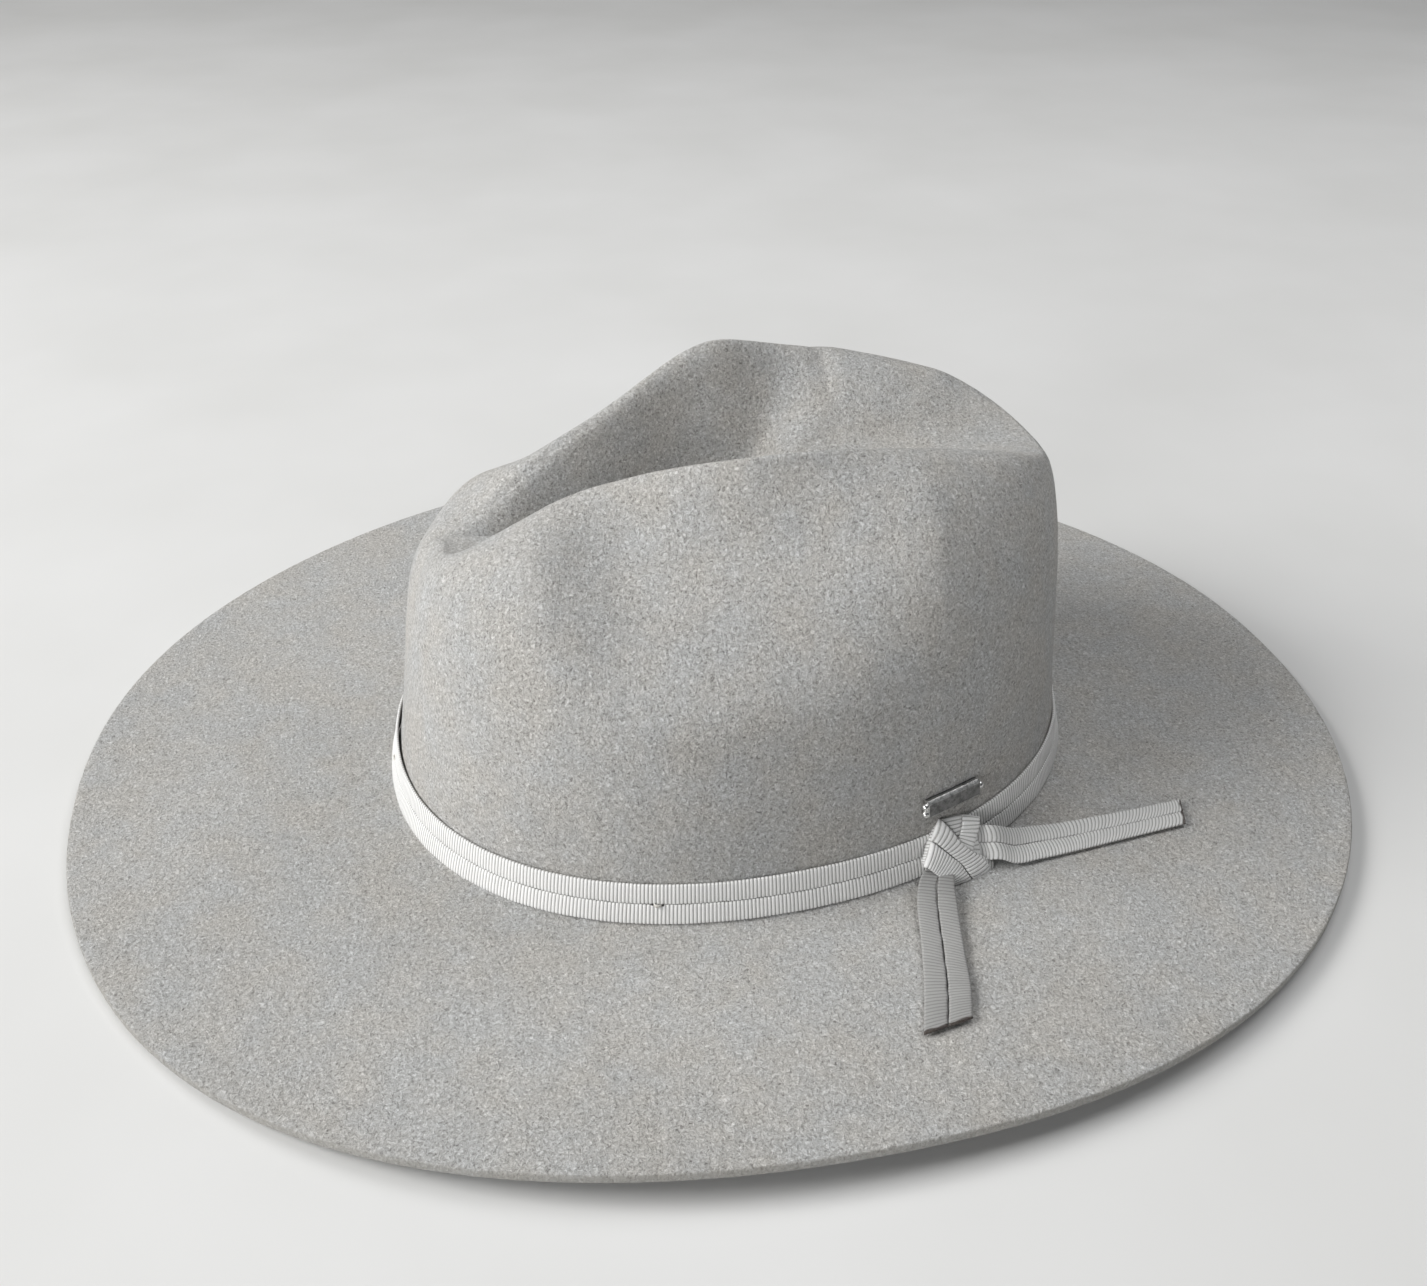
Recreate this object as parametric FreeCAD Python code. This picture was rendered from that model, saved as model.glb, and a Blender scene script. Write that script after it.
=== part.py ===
import FreeCAD, Part
import math, os

# A wide-brimmed felt fedora with a teardrop crown, standing on its brim.
# Millimetres. +Z up, -Y is the hat's front, +X is the wearer's left side.
# The hat is laid out about the middle of its crown, then every solid is moved
# by SHIFT so that the origin is on the ground under the middle of the brim.

V = FreeCAD.Vector

# ------------------------------------------------------------ driving dimensions
FELT_T = 2.4                      # felt thickness
BRIM_HALF_LEN = 192.6             # brim outline, front to back
BRIM_HALF_WID = 172.8             # brim outline, side to side
BRIM_N, BRIM_EGG = 2.137, 0.0176
BRIM_CX, BRIM_CY = -2.8, -4.5
BASE_HALF_LEN = 102.7             # outside of the felt at the foot of the crown
BASE_HALF_WID = 87.2
BASE_N, BASE_EGG = 2.148, -0.0224
BASE_Z, BASE_TILT = 2.4, 0.0161   # level of the foot of the crown, and its slope front to back
BAND_T, BAND_H = 1.0, 11.6        # folded ribbon: thickness and height
BAND_GAP = 0.35                   # between felt and band
SWEAT_T, SWEAT_H = 1.0, 35.0      # sweatband
LINING_T = 0.5
REED_R = 0.8
TAIL_T = 0.9                      # the ribbon's free ends
PIN_LEN, PIN_H, PIN_T = 21.6, 5.3, 2.1
SHIFT = V(2.775, 4.52, 2.92)       # to the origin under the brim's middle

# ridge round the teardrop dent: half width x, y, z, front to back
CREST = [
 (0, -80.0, 78.6), (6, -81.0, 79.3), (12, -80.8, 81.0), (16.2, -78.2, 82.8), (17.9, -73, 85.4), (18.2, -67.5, 88.2),
 (17.9, -60, 91.7), (17.9, -52.5, 94.9), (18.3, -45, 97.9), (19.4, -37.5, 100.6), (21.7, -30, 103.1), (25.2, -22.5, 106.0),
 (29.8, -15, 108.9), (34, -7.5, 111.3), (36.8, 0, 112.9), (38.0, 7.5, 113.5), (38.1, 15, 113.2), (37.5, 22.5, 112.4),
 (36.4, 30, 111.1), (35.1, 37.5, 109.7), (34, 45, 108.3), (33, 52.5, 106.8), (32, 60, 105.2), (30.8, 67.5, 103.2),
 (28.8, 75, 101.1), (25.2, 82.0, 98.0), (18.5, 88, 95.0), (9.5, 91.4, 92.8), (0, 92.6, 92.0)]
# floor of the dent along its middle line: y, z
VALLEY = [(-80, 78.2), (-70, 74.8), (-60, 73.0), (-50, 72.4), (-40, 72.6), (-20, 75.0), (0, 79.2), (20, 83.4), (40, 87.4),
          (60, 90.3), (75, 91.4), (93, 91.7)]
DENT_MID_Y = 12.0


# ------------------------------------------------------------ the hat's surface
def table(tab, x):
    if x <= tab[0][0]:
        return tab[0][1]
    for a, b in zip(tab, tab[1:]):
        if x <= b[0]:
            return a[1] + (x - a[0]) / (b[0] - a[0]) * (b[1] - a[1])
    return tab[-1][1]


def smooth(t):
    t = max(0.0, min(1.0, t))
    return t * t * (3 - 2 * t)


def spow(v, e):
    return math.copysign(abs(v) ** e, v)


def oval(th, a, b, n, y0=0.0, x0=0.0, egg=0.0):
    c, s = math.cos(th), math.sin(th)
    return (spow(c, 2 / n) * b * (1 + egg * s) + x0, spow(s, 2 / n) * a + y0)


def brim_edge(th):
    x, y = oval(th, BRIM_HALF_LEN, BRIM_HALF_WID, BRIM_N, BRIM_CY, BRIM_CX, BRIM_EGG)
    z = (3.2 + 2.8 * math.cos(2 * th) + 0.9 * math.sin(2 * th) + 0.25 * math.cos(3 * th)
         - 0.4 * math.sin(3 * th) + 1.3 * math.cos(4 * th) - 0.7 * math.sin(4 * th))
    return (x, y, z)


def base(th, off=0.0, dz=0.0):
    x, y = oval(th, BASE_HALF_LEN + off, BASE_HALF_WID + off, BASE_N, 0, 0, BASE_EGG)
    return (x, y, BASE_Z + BASE_TILT * y + dz)


def catmull(pts, n):
    out = []
    m = len(pts)
    for i in range(m - 1):
        p0, p1, p2, p3 = pts[max(i - 1, 0)], pts[i], pts[i + 1], pts[min(i + 2, m - 1)]
        if i == 0:
            p0 = (-p2[0], p2[1], p2[2])
        if i == m - 2:
            p3 = (-p1[0], p1[1], p1[2])
        for k in range(n):
            t = k / n
            out.append(tuple(0.5 * ((2 * p1[j]) + (-p0[j] + p2[j]) * t + (2 * p0[j] - 5 * p1[j] + 4 * p2[j] - p3[j]) * t * t
                                    + (-p0[j] + 3 * p1[j] - 3 * p2[j] + p3[j]) * t ** 3) for j in range(3)))
    out.append(tuple(pts[-1]))
    return out


def cumulative(pts):
    c = [0.0]
    for a, b in zip(pts, pts[1:]):
        c.append(c[-1] + math.dist(a, b))
    return c


RIDGE = catmull(CREST, 8)
RIDGE_LEN = cumulative(RIDGE)


def crest(th):
    s, c = math.sin(th), math.cos(th)
    t = (math.atan2(s, abs(c)) + math.pi / 2) / math.pi
    d = t * RIDGE_LEN[-1]
    i = 0
    while i < len(RIDGE_LEN) - 2 and RIDGE_LEN[i + 1] < d:
        i += 1
    f = (d - RIDGE_LEN[i]) / (RIDGE_LEN[i + 1] - RIDGE_LEN[i])
    p = [RIDGE[i][j] + f * (RIDGE[i + 1][j] - RIDGE[i][j]) for j in range(3)]
    if c < 0:                                  # the right-hand ridge runs closer in and lower at the front
        e = math.exp(-((p[1] + 69) / 22) ** 2) * smooth(p[0] / 13)
        p[0] *= 1 - 0.47 * e
        p[2] -= 6.0 * e
        wide = math.exp(-((p[1] - 36) / 20) ** 2)
        tight = math.exp(-((p[1] - 5) / 14) ** 2)
        p[0] += 3.5 * wide - 2.0 * tight
        p[2] += 3.2 * tight - 0.4 * wide
    return (p[0] if c >= 0 else -p[0], p[1], p[2])


def pinch(y, z, side):
    """depth of the finger pinch in the crown's sides: deepest at the front, fading to the back"""
    rise = smooth((y + (63 if side > 0 else 80)) / 32)
    fall = smooth((45 - y) / 64) ** 0.75
    return (24.0 + 18.0 * smooth((z - 78) / 20)) * rise * fall * smooth((z - 57) / 37)


def wall_slope(th):
    s = math.sin(th)
    return 0.10 + 0.05 * max(0, -s) ** 2 - 0.035 * max(0, s) ** 2


def wall_in(th, zr):
    """how far the lower wall has come in at a height zr above the foot"""
    return wall_slope(th) * zr + 1.5 * (1 - math.exp(-zr / 7.0))


def wall(th, n):
    """from the foot of the crown up to the ridge"""
    k, c = base(th), crest(th)
    s, co = math.sin(th), abs(math.cos(th))
    D = math.hypot(c[0] - k[0], c[1] - k[1])
    H = c[2] - k[2]
    m = min(wall_slope(th), 0.65 * D / H)
    p = 3.3 + 4.5 * max(0, -s) ** 3 + 6 * max(0, s) ** 4
    ux, uy = (c[0] - k[0]) / D, (c[1] - k[1]) / D
    pts = []
    N = 120
    for i in range(N + 1):
        a = (i / N) ** 1.6 * math.pi / 2
        g = 1 - math.cos(a)
        ze = math.sin(a) ** (2 / p) if i else 0.0
        fl = 1.5 * (1 - math.exp(-ze * H / 7.0))
        h = m * ze * H + fl + (D - m * H - 1.5) * g
        x, y, z = k[0] + ux * h, k[1] + uy * h, k[2] + H * ze
        room = max(abs(x) - abs(c[0]), 0.01)
        q = room * (1 - math.exp(-pinch(y, z, x) * min(1, co * 1.4) / room))
        pts.append((x - q if x > 0 else x + q, y, z))
    cum = cumulative(pts)
    out = []
    j = 0
    for i in range(n + 1):
        d = (1 - (1 - i / n) ** 1.25) * cum[-1]
        while j < len(cum) - 2 and cum[j + 1] < d:
            j += 1
        t = (d - cum[j]) / (cum[j + 1] - cum[j]) if cum[j + 1] > cum[j] else 0
        t = max(0, min(1, t))
        out.append(tuple(pts[j][q] + t * (pts[j + 1][q] - pts[j][q]) for q in range(3)))
    return out


def dent(th, n):
    c = crest(th)
    yc = c[1]
    yv = DENT_MID_Y + (yc - DENT_MID_Y) * (0.97 if yc < DENT_MID_Y else 0.70)
    out = []
    for i in range(1, n + 1):
        w = i / n
        x = c[0] * (1 - w)
        y = yc + (yv - yc) * w
        zf = table(VALLEY, y)
        fr = 1 - smooth((yc + 50) / 55)
        bk = smooth((yc - 28 + 45 * w) / 36)
        z = zf + (c[2] - zf) * (1 - smooth((w / (0.50 + 0.14 * fr + 0.42 * bk)) ** (1.12 - 0.12 * bk)))
        y2 = y + (DENT_MID_Y - y) * w ** 5
        z += (table(VALLEY, y2) - zf) * w ** 5
        out.append((x, y2, z))
    return out


NT = 72                      # stations round the hat
N_BRIM, N_WALL, N_DENT = 6, 16, 10


def column(th):
    e, k = brim_edge(th), base(th, 2.6)
    col = []
    for i in range(N_BRIM):
        f = i / N_BRIM
        col.append((e[0] + (k[0] - e[0]) * f, e[1] + (k[1] - e[1]) * f, e[2] + (k[2] - 0.1 - e[2]) * f))
    col.append((k[0], k[1], k[2] - 0.05))
    col.append(base(th, 1.0, 0.4))
    col.append(base(th, 0.1, 1.6))
    w = wall(th, N_WALL)
    col += w[1:]
    col += dent(th, N_DENT)
    return col


GRID = [column(2 * math.pi * i / NT) for i in range(NT)]
NV = len(GRID[0])
WALL0 = N_BRIM + 3           # first ring on the wall
CREST_RING = WALL0 + N_WALL - 1


def sub(a, b):
    return (a[0] - b[0], a[1] - b[1], a[2] - b[2])


def cross(a, b):
    return (a[1] * b[2] - a[2] * b[1], a[2] * b[0] - a[0] * b[2], a[0] * b[1] - a[1] * b[0])


def unit(a):
    l = math.sqrt(a[0] ** 2 + a[1] ** 2 + a[2] ** 2) or 1.0
    return (a[0] / l, a[1] / l, a[2] / l)


def normals():
    out = []
    for i in range(NT):
        row = []
        for k in range(NV):
            if k == NV - 1:
                row.append((0.0, 0.0, 1.0))
                continue
            du = sub(GRID[(i + 1) % NT][k], GRID[(i - 1) % NT][k])
            dv = sub(GRID[i][min(k + 1, NV - 1)], GRID[i][max(k - 1, 0)])
            row.append(unit(cross(du, dv)))
        out.append(row)
    return out


NORM = normals()


def inside(off):
    """the surface moved in by off, which may be a function of the ring"""
    g = []
    for i in range(NT):
        g.append([tuple(GRID[i][k][j] - NORM[i][k][j] * (off(i, k) if callable(off) else off) for j in range(3))
                  for k in range(NV)])
    return g


def relax(g, k0, k1, rounds):
    """evens out a grid between two rings"""
    for _ in range(rounds):
        h = [row[:] for row in g]
        for i in range(NT):
            for k in range(k0, k1):
                a, b, c, d = g[(i + 1) % NT][k], g[(i - 1) % NT][k], g[i][k + 1], g[i][k - 1]
                h[i][k] = tuple(0.5 * g[i][k][j] + 0.125 * (a[j] + b[j] + c[j] + d[j]) for j in range(3))
        g = h
    return g


# ------------------------------------------------------------ solids from grids
def face(poles, periodic=False, du=3, dv=3, vperiodic=False):
    nu, nv = len(poles), len(poles[0])
    du, dv = min(du, nu - 1) if not periodic else du, min(dv, nv - 1) if not vperiodic else dv
    if periodic:
        uk, um = [float(i) for i in range(nu + 1)], [1] * (nu + 1)
    else:
        uk = [float(i) for i in range(nu - du + 1)]
        um = [du + 1] + [1] * (nu - du - 1) + [du + 1]
    if vperiodic:
        vk, vm = [float(i) for i in range(nv + 1)], [1] * (nv + 1)
    else:
        vk = [float(i) for i in range(nv - dv + 1)]
        vm = [dv + 1] + [1] * (nv - dv - 1) + [dv + 1]
    s = Part.BSplineSurface()
    s.buildFromPolesMultsKnots([[V(*p) for p in row] for row in poles], um, vm, uk, vk, periodic, vperiodic, du, dv)
    return s.toShape()


def solid(faces, name=""):
    sh = Part.makeShell(faces)
    sh.sewShape()
    if sh.ShapeType != "Shell":
        sh = sh.Shells[0]
    s = Part.Solid(sh)
    if s.Volume < 0:
        s.reverse()
    if not s.isValid():
        s.fix(1e-4, 1e-4, 1e-3)
    return s


def ring_strip(a, b, c, d):
    """closed band between four closed lines: a-b outside low and high, d-c inside low and high"""
    return solid([face([[p, q] for p, q in zip(u, v)], True, 3, 1) for u, v in ((a, b), (b, c), (c, d), (d, a))])


def ring_tube(line, r, n=6):
    """closed cord of radius r along a closed line of points, its section an n-sided polygon"""
    m = len(line)
    rings = [[] for _ in range(n)]
    for i in range(m):
        t = unit(sub(line[(i + 1) % m], line[(i - 1) % m]))
        side = unit(cross(t, (0, 0, 1)))
        up = cross(side, t)
        for q in range(n):
            a = 2 * math.pi * q / n
            rings[q].append(tuple(line[i][j] + r * (math.cos(a) * side[j] + math.sin(a) * up[j]) for j in range(3)))
    return solid([face([[p, q] for p, q in zip(rings[k], rings[(k + 1) % n])], True, 3, 1) for k in range(n)])


def block(g):
    """closed solid from a grid g[i][j][k] of points, smooth along i and j"""
    ni, nj, nk = len(g), len(g[0]), len(g[0][0])
    fs = [face([[g[i][j][0] for j in range(nj)] for i in range(ni)]),
          face([[g[i][j][nk - 1] for j in range(nj)] for i in range(ni)]),
          face([[g[i][0][k] for k in range(nk)] for i in range(ni)]),
          face([[g[i][nj - 1][k] for k in range(nk)] for i in range(ni)]),
          face([[g[0][j][k] for k in range(nk)] for j in range(nj)]),
          face([[g[ni - 1][j][k] for k in range(nk)] for j in range(nj)])]
    return solid(fs)


def closed_line(off, dz, n=NT):
    """line round the foot oval; off is outward, or a function of the angle"""
    out = []
    for i in range(n):
        th = 2 * math.pi * i / n
        out.append(base(th, off(th) if callable(off) else off, dz))
    return out


def strip_on_oval(t0, t1, off0, off1, z0, z1, n=7):
    """part of a band along the foot oval between two angles"""
    g = []
    for i in range(n):
        th = t0 + (t1 - t0) * i / (n - 1)
        g.append([[base(th, o, z) for o in (off0, off1)] for z in (z0, z1)])
    return block(g)


SHAPES = {}


def add(name, shape):
    SHAPES[name] = shape


# ------------------------------------------------------------ felt: crown and brim in one piece
INNER = inside(FELT_T)
add("felt_body", solid([face(GRID, True), face(INNER, True),
                        face([[GRID[i][0], INNER[i][0]] for i in range(NT)], True, 3, 1)]))

# ------------------------------------------------------------ ribbon band, folded, round the foot of the crown
lo_in = closed_line(lambda th: BAND_GAP - wall_in(th, 0.6) + 0.45, 0.85)
hi_in = closed_line(lambda th: BAND_GAP - wall_in(th, 0.6 + BAND_H), 0.6 + BAND_H)
lo_out = closed_line(lambda th: BAND_GAP - wall_in(th, 0.6) + 0.45 + BAND_T, 0.65)
hi_out = closed_line(lambda th: BAND_GAP - wall_in(th, 0.6 + BAND_H) + BAND_T, 0.6 + BAND_H)
add("hatband", ring_strip(lo_out, hi_out, hi_in, lo_in))

# ------------------------------------------------------------ sweatband and what holds it
add("reed_tape", ring_strip(closed_line(-2.75, -0.9), closed_line(-3.6, 4.0), closed_line(-3.9, 4.0), closed_line(-3.05, -0.9)))
add("sweatband", ring_strip(closed_line(-4.0, 0.3), closed_line(lambda th: -4.2 - wall_in(th, SWEAT_H), SWEAT_H),
                            closed_line(lambda th: -4.2 - SWEAT_T - wall_in(th, SWEAT_H), SWEAT_H),
                            closed_line(-4.0 - SWEAT_T, 0.3)))
add("sweatband_reed", ring_tube(closed_line(-4.3, -0.95), REED_R, 8))
add("sweatband_stitching", ring_tube(closed_line(lambda th: -5.6 - wall_in(th, 2.5) * 0.25, 2.6), 0.25, 4))
back = math.pi / 2
add("sweatband_bow", strip_on_oval(back - 0.16, back + 0.16, -7.9, -6.7, 4.0, 11.0))

# ------------------------------------------------------------ lining
def lining_off(extra):
    def f(i, k):
        z = GRID[i][k][2] - base(2 * math.pi * i / NT)[2]
        w = smooth((z - 34) / 10.0)
        top = smooth((k - CREST_RING + 3) / 4.0)
        return 2.75 + extra + 1.4 * w + 1.6 * top
    return f


LIN_A = relax(inside(lining_off(0.0)), CREST_RING - 4, NV - 1, 5)
LIN_B = relax(inside(lining_off(LINING_T)), CREST_RING - 4, NV - 1, 5)
first = next(k for k in range(WALL0, NV) if min(GRID[i][k][2] - base(2 * math.pi * i / NT)[2] for i in range(NT)) > 27.5)
tip = CREST_RING - 3


def shell_between(A, B, k0, k1, closed_top):
    cols_a = [A[i][k0:k1 + 1] for i in range(NT)]
    cols_b = [B[i][k0:k1 + 1] for i in range(NT)]
    fs = [face(cols_a, True), face(cols_b, True), face([[a[0], b[0]] for a, b in zip(cols_a, cols_b)], True, 3, 1)]
    if not closed_top:
        fs.append(face([[a[-1], b[-1]] for a, b in zip(cols_a, cols_b)], True, 3, 1))
    return solid(fs)


add("lining_side", shell_between(LIN_A, LIN_B, first, tip - 1, False))
add("lining_tip", shell_between(LIN_A, LIN_B, tip, NV - 1, True))
mid = [tuple((LIN_A[i][tip - 1][j] + LIN_A[i][tip][j] + LIN_B[i][tip - 1][j] + LIN_B[i][tip][j]) / 4 for j in range(3))
       for i in range(NT)]
add("lining_piping", ring_tube(mid, 1.35, 8))

# ------------------------------------------------------------ knot on the left side, towards the back
KD = unit((-6.9, 18.1, 0))                 # along the wall, towards the back
KN = unit((18.1, 6.9, 4.6))                # out of the wall
KU = cross(KD, KN)
KU = tuple(-c for c in KU) if KU[2] < 0 else KU
KC = (79.0, 47.6, 9.2)                     # on the band's face, at the knot's middle
KH = unit((18.1, 6.9, 0))                  # level, out of the wall
LEAN = math.radians(33)                    # the knot's face looks out and up
KF = (KH[0] * math.cos(LEAN), KH[1] * math.cos(LEAN), math.sin(LEAN))
KFU = cross(KD, KF)
KFU = tuple(-c for c in KFU) if KFU[2] < 0 else KFU
KFC = (83.1, 46.3, 11.55)                  # middle of the knot's face
KNOT_GAP = 0.35


def dot(a, b):
    return a[0] * b[0] + a[1] * b[1] + a[2] * b[2]


# outline of the knot on its face: along the band, up the face
KNOT_FACE = [(-11.0, -0.3), (-10.2, 2.4), (-6.6, 6.4), (-3.0, 9.4), (1.2, 9.2), (8.8, 4.8), (8.4, -1.5), (7.0, -8.2), (0.6, -8.4), (-5.6, -6.0)]
face_pts, back_pts = [], []
for t, u in KNOT_FACE:
    p = tuple(KFC[j] + KD[j] * t + KFU[j] * u for j in range(3))
    k = (dot(sub(p, KC), KN) - KNOT_GAP) / dot(KH, KN)
    face_pts.append(V(*p))
    back_pts.append(V(*[p[j] - KH[j] * k for j in range(3)]))
add("knot", Part.makeLoft([Part.makePolygon(back_pts + [back_pts[0]]), Part.makePolygon(face_pts + [face_pts[0]])], True, True))

# ------------------------------------------------------------ the ribbon's two free ends, lying on the brim
def along(pts, t):
    """Catmull-Rom through the points"""
    m = len(pts) - 1
    f = t * m
    i = min(int(f), m - 1)
    u = f - i
    p1, p2 = pts[i], pts[i + 1]
    p0 = pts[i - 1] if i else tuple(2 * p1[j] - p2[j] for j in range(3))
    p3 = pts[i + 2] if i + 2 <= m else tuple(2 * p2[j] - p1[j] for j in range(3))
    return tuple(0.5 * (2 * p1[j] + (-p0[j] + p2[j]) * u + (2 * p0[j] - 5 * p1[j] + 4 * p2[j] - p3[j]) * u * u
                        + (-p0[j] + 3 * p1[j] - 3 * p2[j] + p3[j]) * u ** 3) for j in range(3))


TAIL_FRONT = ([(89.2, 33.6, 8.3), (95.0, 31.0, 5.8), (108.8, 26.7, 4.9), (124.3, 22.0, 5.6), (140.0, 16.4, 6.4)],
              [(90.6, 42.3, 6.2), (99.5, 40.2, 5.2), (115.3, 36.3, 5.0), (127.0, 33.4, 5.7), (137.6, 29.8, 6.3)])
TAIL_BACK = ([(85.2, 56.6, 4.7), (85.3, 63.0, 4.4), (85.0, 70.0, 4.3), (84.4, 78.0, 4.2), (83.4, 88.0, 4.2), (81.9, 101.5, 4.1), (80.3, 116.0, 4.0)],
             [(79.8, 56.4, 14.2), (76.2, 64.0, 9.4), (73.6, 71.0, 6.2), (72.4, 79.5, 4.6), (71.9, 93.0, 4.3), (71.1, 108.0, 4.2), (70.1, 119.5, 4.0)])


def strap(edges, n, flip=1):
    left, right = edges
    g = []
    for i in range(n):
        t = i / (n - 1)
        a, b = along(left, t), along(right, t)
        a2, b2 = along(left, min(1, t + 0.02)), along(left, max(0, t - 0.02))
        nrm = unit(cross(sub(a2, b2), sub(b, a)))
        if nrm[2] < 0:
            nrm = tuple(-c for c in nrm)
        row = []
        for w in (0.0, 0.5, 1.0):
            p = tuple(a[j] + (b[j] - a[j]) * w for j in range(3))
            row.append([p, tuple(p[j] + nrm[j] * TAIL_T for j in range(3))])
        g.append(row)
    return block(g)


add("tail_front", strap(TAIL_FRONT, 9))
add("tail_back", strap(TAIL_BACK, 13))

# tack stitches that hold the band to the felt: three along the sides and front
tacks = []
for deg in (-19.9, 205, 270, 118):
    th = math.radians(deg)
    o = BAND_GAP + BAND_T - wall_in(th, 4.6) + 0.02
    tacks.append(strip_on_oval(th - 0.010, th + 0.010, o + 0.42, o + 0.82, 4.3, 4.8, 4))
add("band_tacks", Part.makeCompound(tacks))

# ------------------------------------------------------------ metal bar pin above the knot
PD = unit((-6.9, 18.1, 0))
PN = unit((18.1, 6.9, 2.4))
PU = cross(PD, PN)
PU = tuple(-c for c in PU) if PU[2] < 0 else PU


def wall_point(px, py, zr):
    """point of the felt's outside near (px, py) at a height zr above the foot"""
    best = None
    for i in range(3600):
        th = 2 * math.pi * i / 3600
        q = base(th, -wall_in(th, zr), zr)
        d = (q[0] - px) ** 2 + (q[1] - py) ** 2
        if best is None or d < best[0]:
            best = (d, q)
    return best[1]


PC0 = wall_point(75.6, 45.4, 20.7)


def pp(t, s, o):
    return tuple(PC0[j] + PD[j] * t + PU[j] * s + PN[j] * o for j in range(3))


def pin_prism(poly, t0, t1):
    """section in (s, o), run along the bar"""
    a = [V(*pp(t0, s, o)) for s, o in poly]
    b = [V(*pp(t1, s, o)) for s, o in poly]
    return Part.makeLoft([Part.makePolygon(a + [a[0]]), Part.makePolygon(b + [b[0]])], True, True)


h, o0 = PIN_H / 2, 0.1
CAP = 1.7
bar_poly = [(-h, o0), (-h, o0 + PIN_T - 0.6), (-h + 0.6, o0 + PIN_T), (h - 0.6, o0 + PIN_T), (h, o0 + PIN_T - 0.6), (h, o0)]
add("pin_bar", pin_prism(bar_poly, -PIN_LEN / 2 + CAP, PIN_LEN / 2 - CAP))
caps = []
for sgn in (-1, 1):
    a = pp(sgn * (PIN_LEN / 2 - CAP), 0, o0 + 0.95)
    c = Part.makeCylinder(0.95, CAP - 0.5, V(*a), V(*[sgn * q for q in PD]))
    b = pp(sgn * (PIN_LEN / 2 - 0.5), 0, o0 + 0.95)
    c2 = Part.makeCone(0.95, 0.5, 0.5, V(*b), V(*[sgn * q for q in PD]))
    caps.append(c.fuse(c2).removeSplitter())
add("pin_end_beads", Part.makeCompound(caps))
prongs = []
holes = []
for sgn in (-1, 1):
    t = sgn * 5.5
    rod = Part.makeCylinder(0.4, 3.72 + o0, V(*pp(t, 0, -3.72)), V(*PN))
    leg = pin_prism([(-0.3, -3.72), (-0.3, -3.34), (0.3, -3.34), (0.3, -3.72)], t - 0.4 if sgn > 0 else t - 2.6, t + 2.6 if sgn > 0 else t + 0.4)
    prongs.append(rod.fuse(leg).removeSplitter())
    holes.append(Part.makeCylinder(0.45, 1.5, V(*pp(t, 0, -3.9)), V(*PN)))
add("pin_prongs", Part.makeCompound(prongs))
plate = pin_prism([(-2.2, -3.3), (-2.2, -3.0), (2.2, -3.0), (2.2, -3.3)], -8.0, 8.0)
for hcut in holes:
    plate = plate.cut(hcut)
add("pin_backing_plate", plate)

# ------------------------------------------------------------ write the solids
os.makedirs("parts", exist_ok=True)
box = None
for name, s in SHAPES.items():
    s = s.copy()
    s.translate(SHIFT)
    b = s.BoundBox
    ok = s.isValid()
    vol = sum(x.Volume for x in s.Solids)
    print("%-22s valid %s solids %d volume %9.1f  x %.2f %.2f  y %.2f %.2f  z %.2f %.2f" % (
        name, ok, len(s.Solids), vol, b.XMin, b.XMax, b.YMin, b.YMax, b.ZMin, b.ZMax))
    s.exportStep("parts/%s.step" % name)
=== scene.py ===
import bpy, math
import numpy as np
from mathutils.bvhtree import BVHTree
from mathutils import Vector, Matrix, noise


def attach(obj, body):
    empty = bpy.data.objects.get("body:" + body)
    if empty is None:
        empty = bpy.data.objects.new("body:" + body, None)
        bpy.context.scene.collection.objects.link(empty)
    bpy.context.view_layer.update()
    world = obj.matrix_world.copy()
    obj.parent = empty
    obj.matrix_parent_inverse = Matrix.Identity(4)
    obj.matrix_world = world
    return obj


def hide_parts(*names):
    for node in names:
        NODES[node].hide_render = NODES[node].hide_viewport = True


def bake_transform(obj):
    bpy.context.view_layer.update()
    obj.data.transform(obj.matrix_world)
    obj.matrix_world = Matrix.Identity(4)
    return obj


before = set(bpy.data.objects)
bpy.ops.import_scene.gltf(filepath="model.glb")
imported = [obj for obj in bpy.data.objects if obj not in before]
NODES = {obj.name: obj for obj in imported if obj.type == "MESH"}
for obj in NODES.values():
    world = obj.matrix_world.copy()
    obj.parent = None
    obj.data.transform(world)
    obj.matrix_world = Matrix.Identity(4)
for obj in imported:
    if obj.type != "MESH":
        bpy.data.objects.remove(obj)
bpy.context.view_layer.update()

# Shapes are laid out in millimetres about the crown's middle, as the CAD source
# does, and moved by SHIFT to the row frame; meshes are in metres.
SHIFT = np.array([2.775, 4.52, 2.92])

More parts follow.
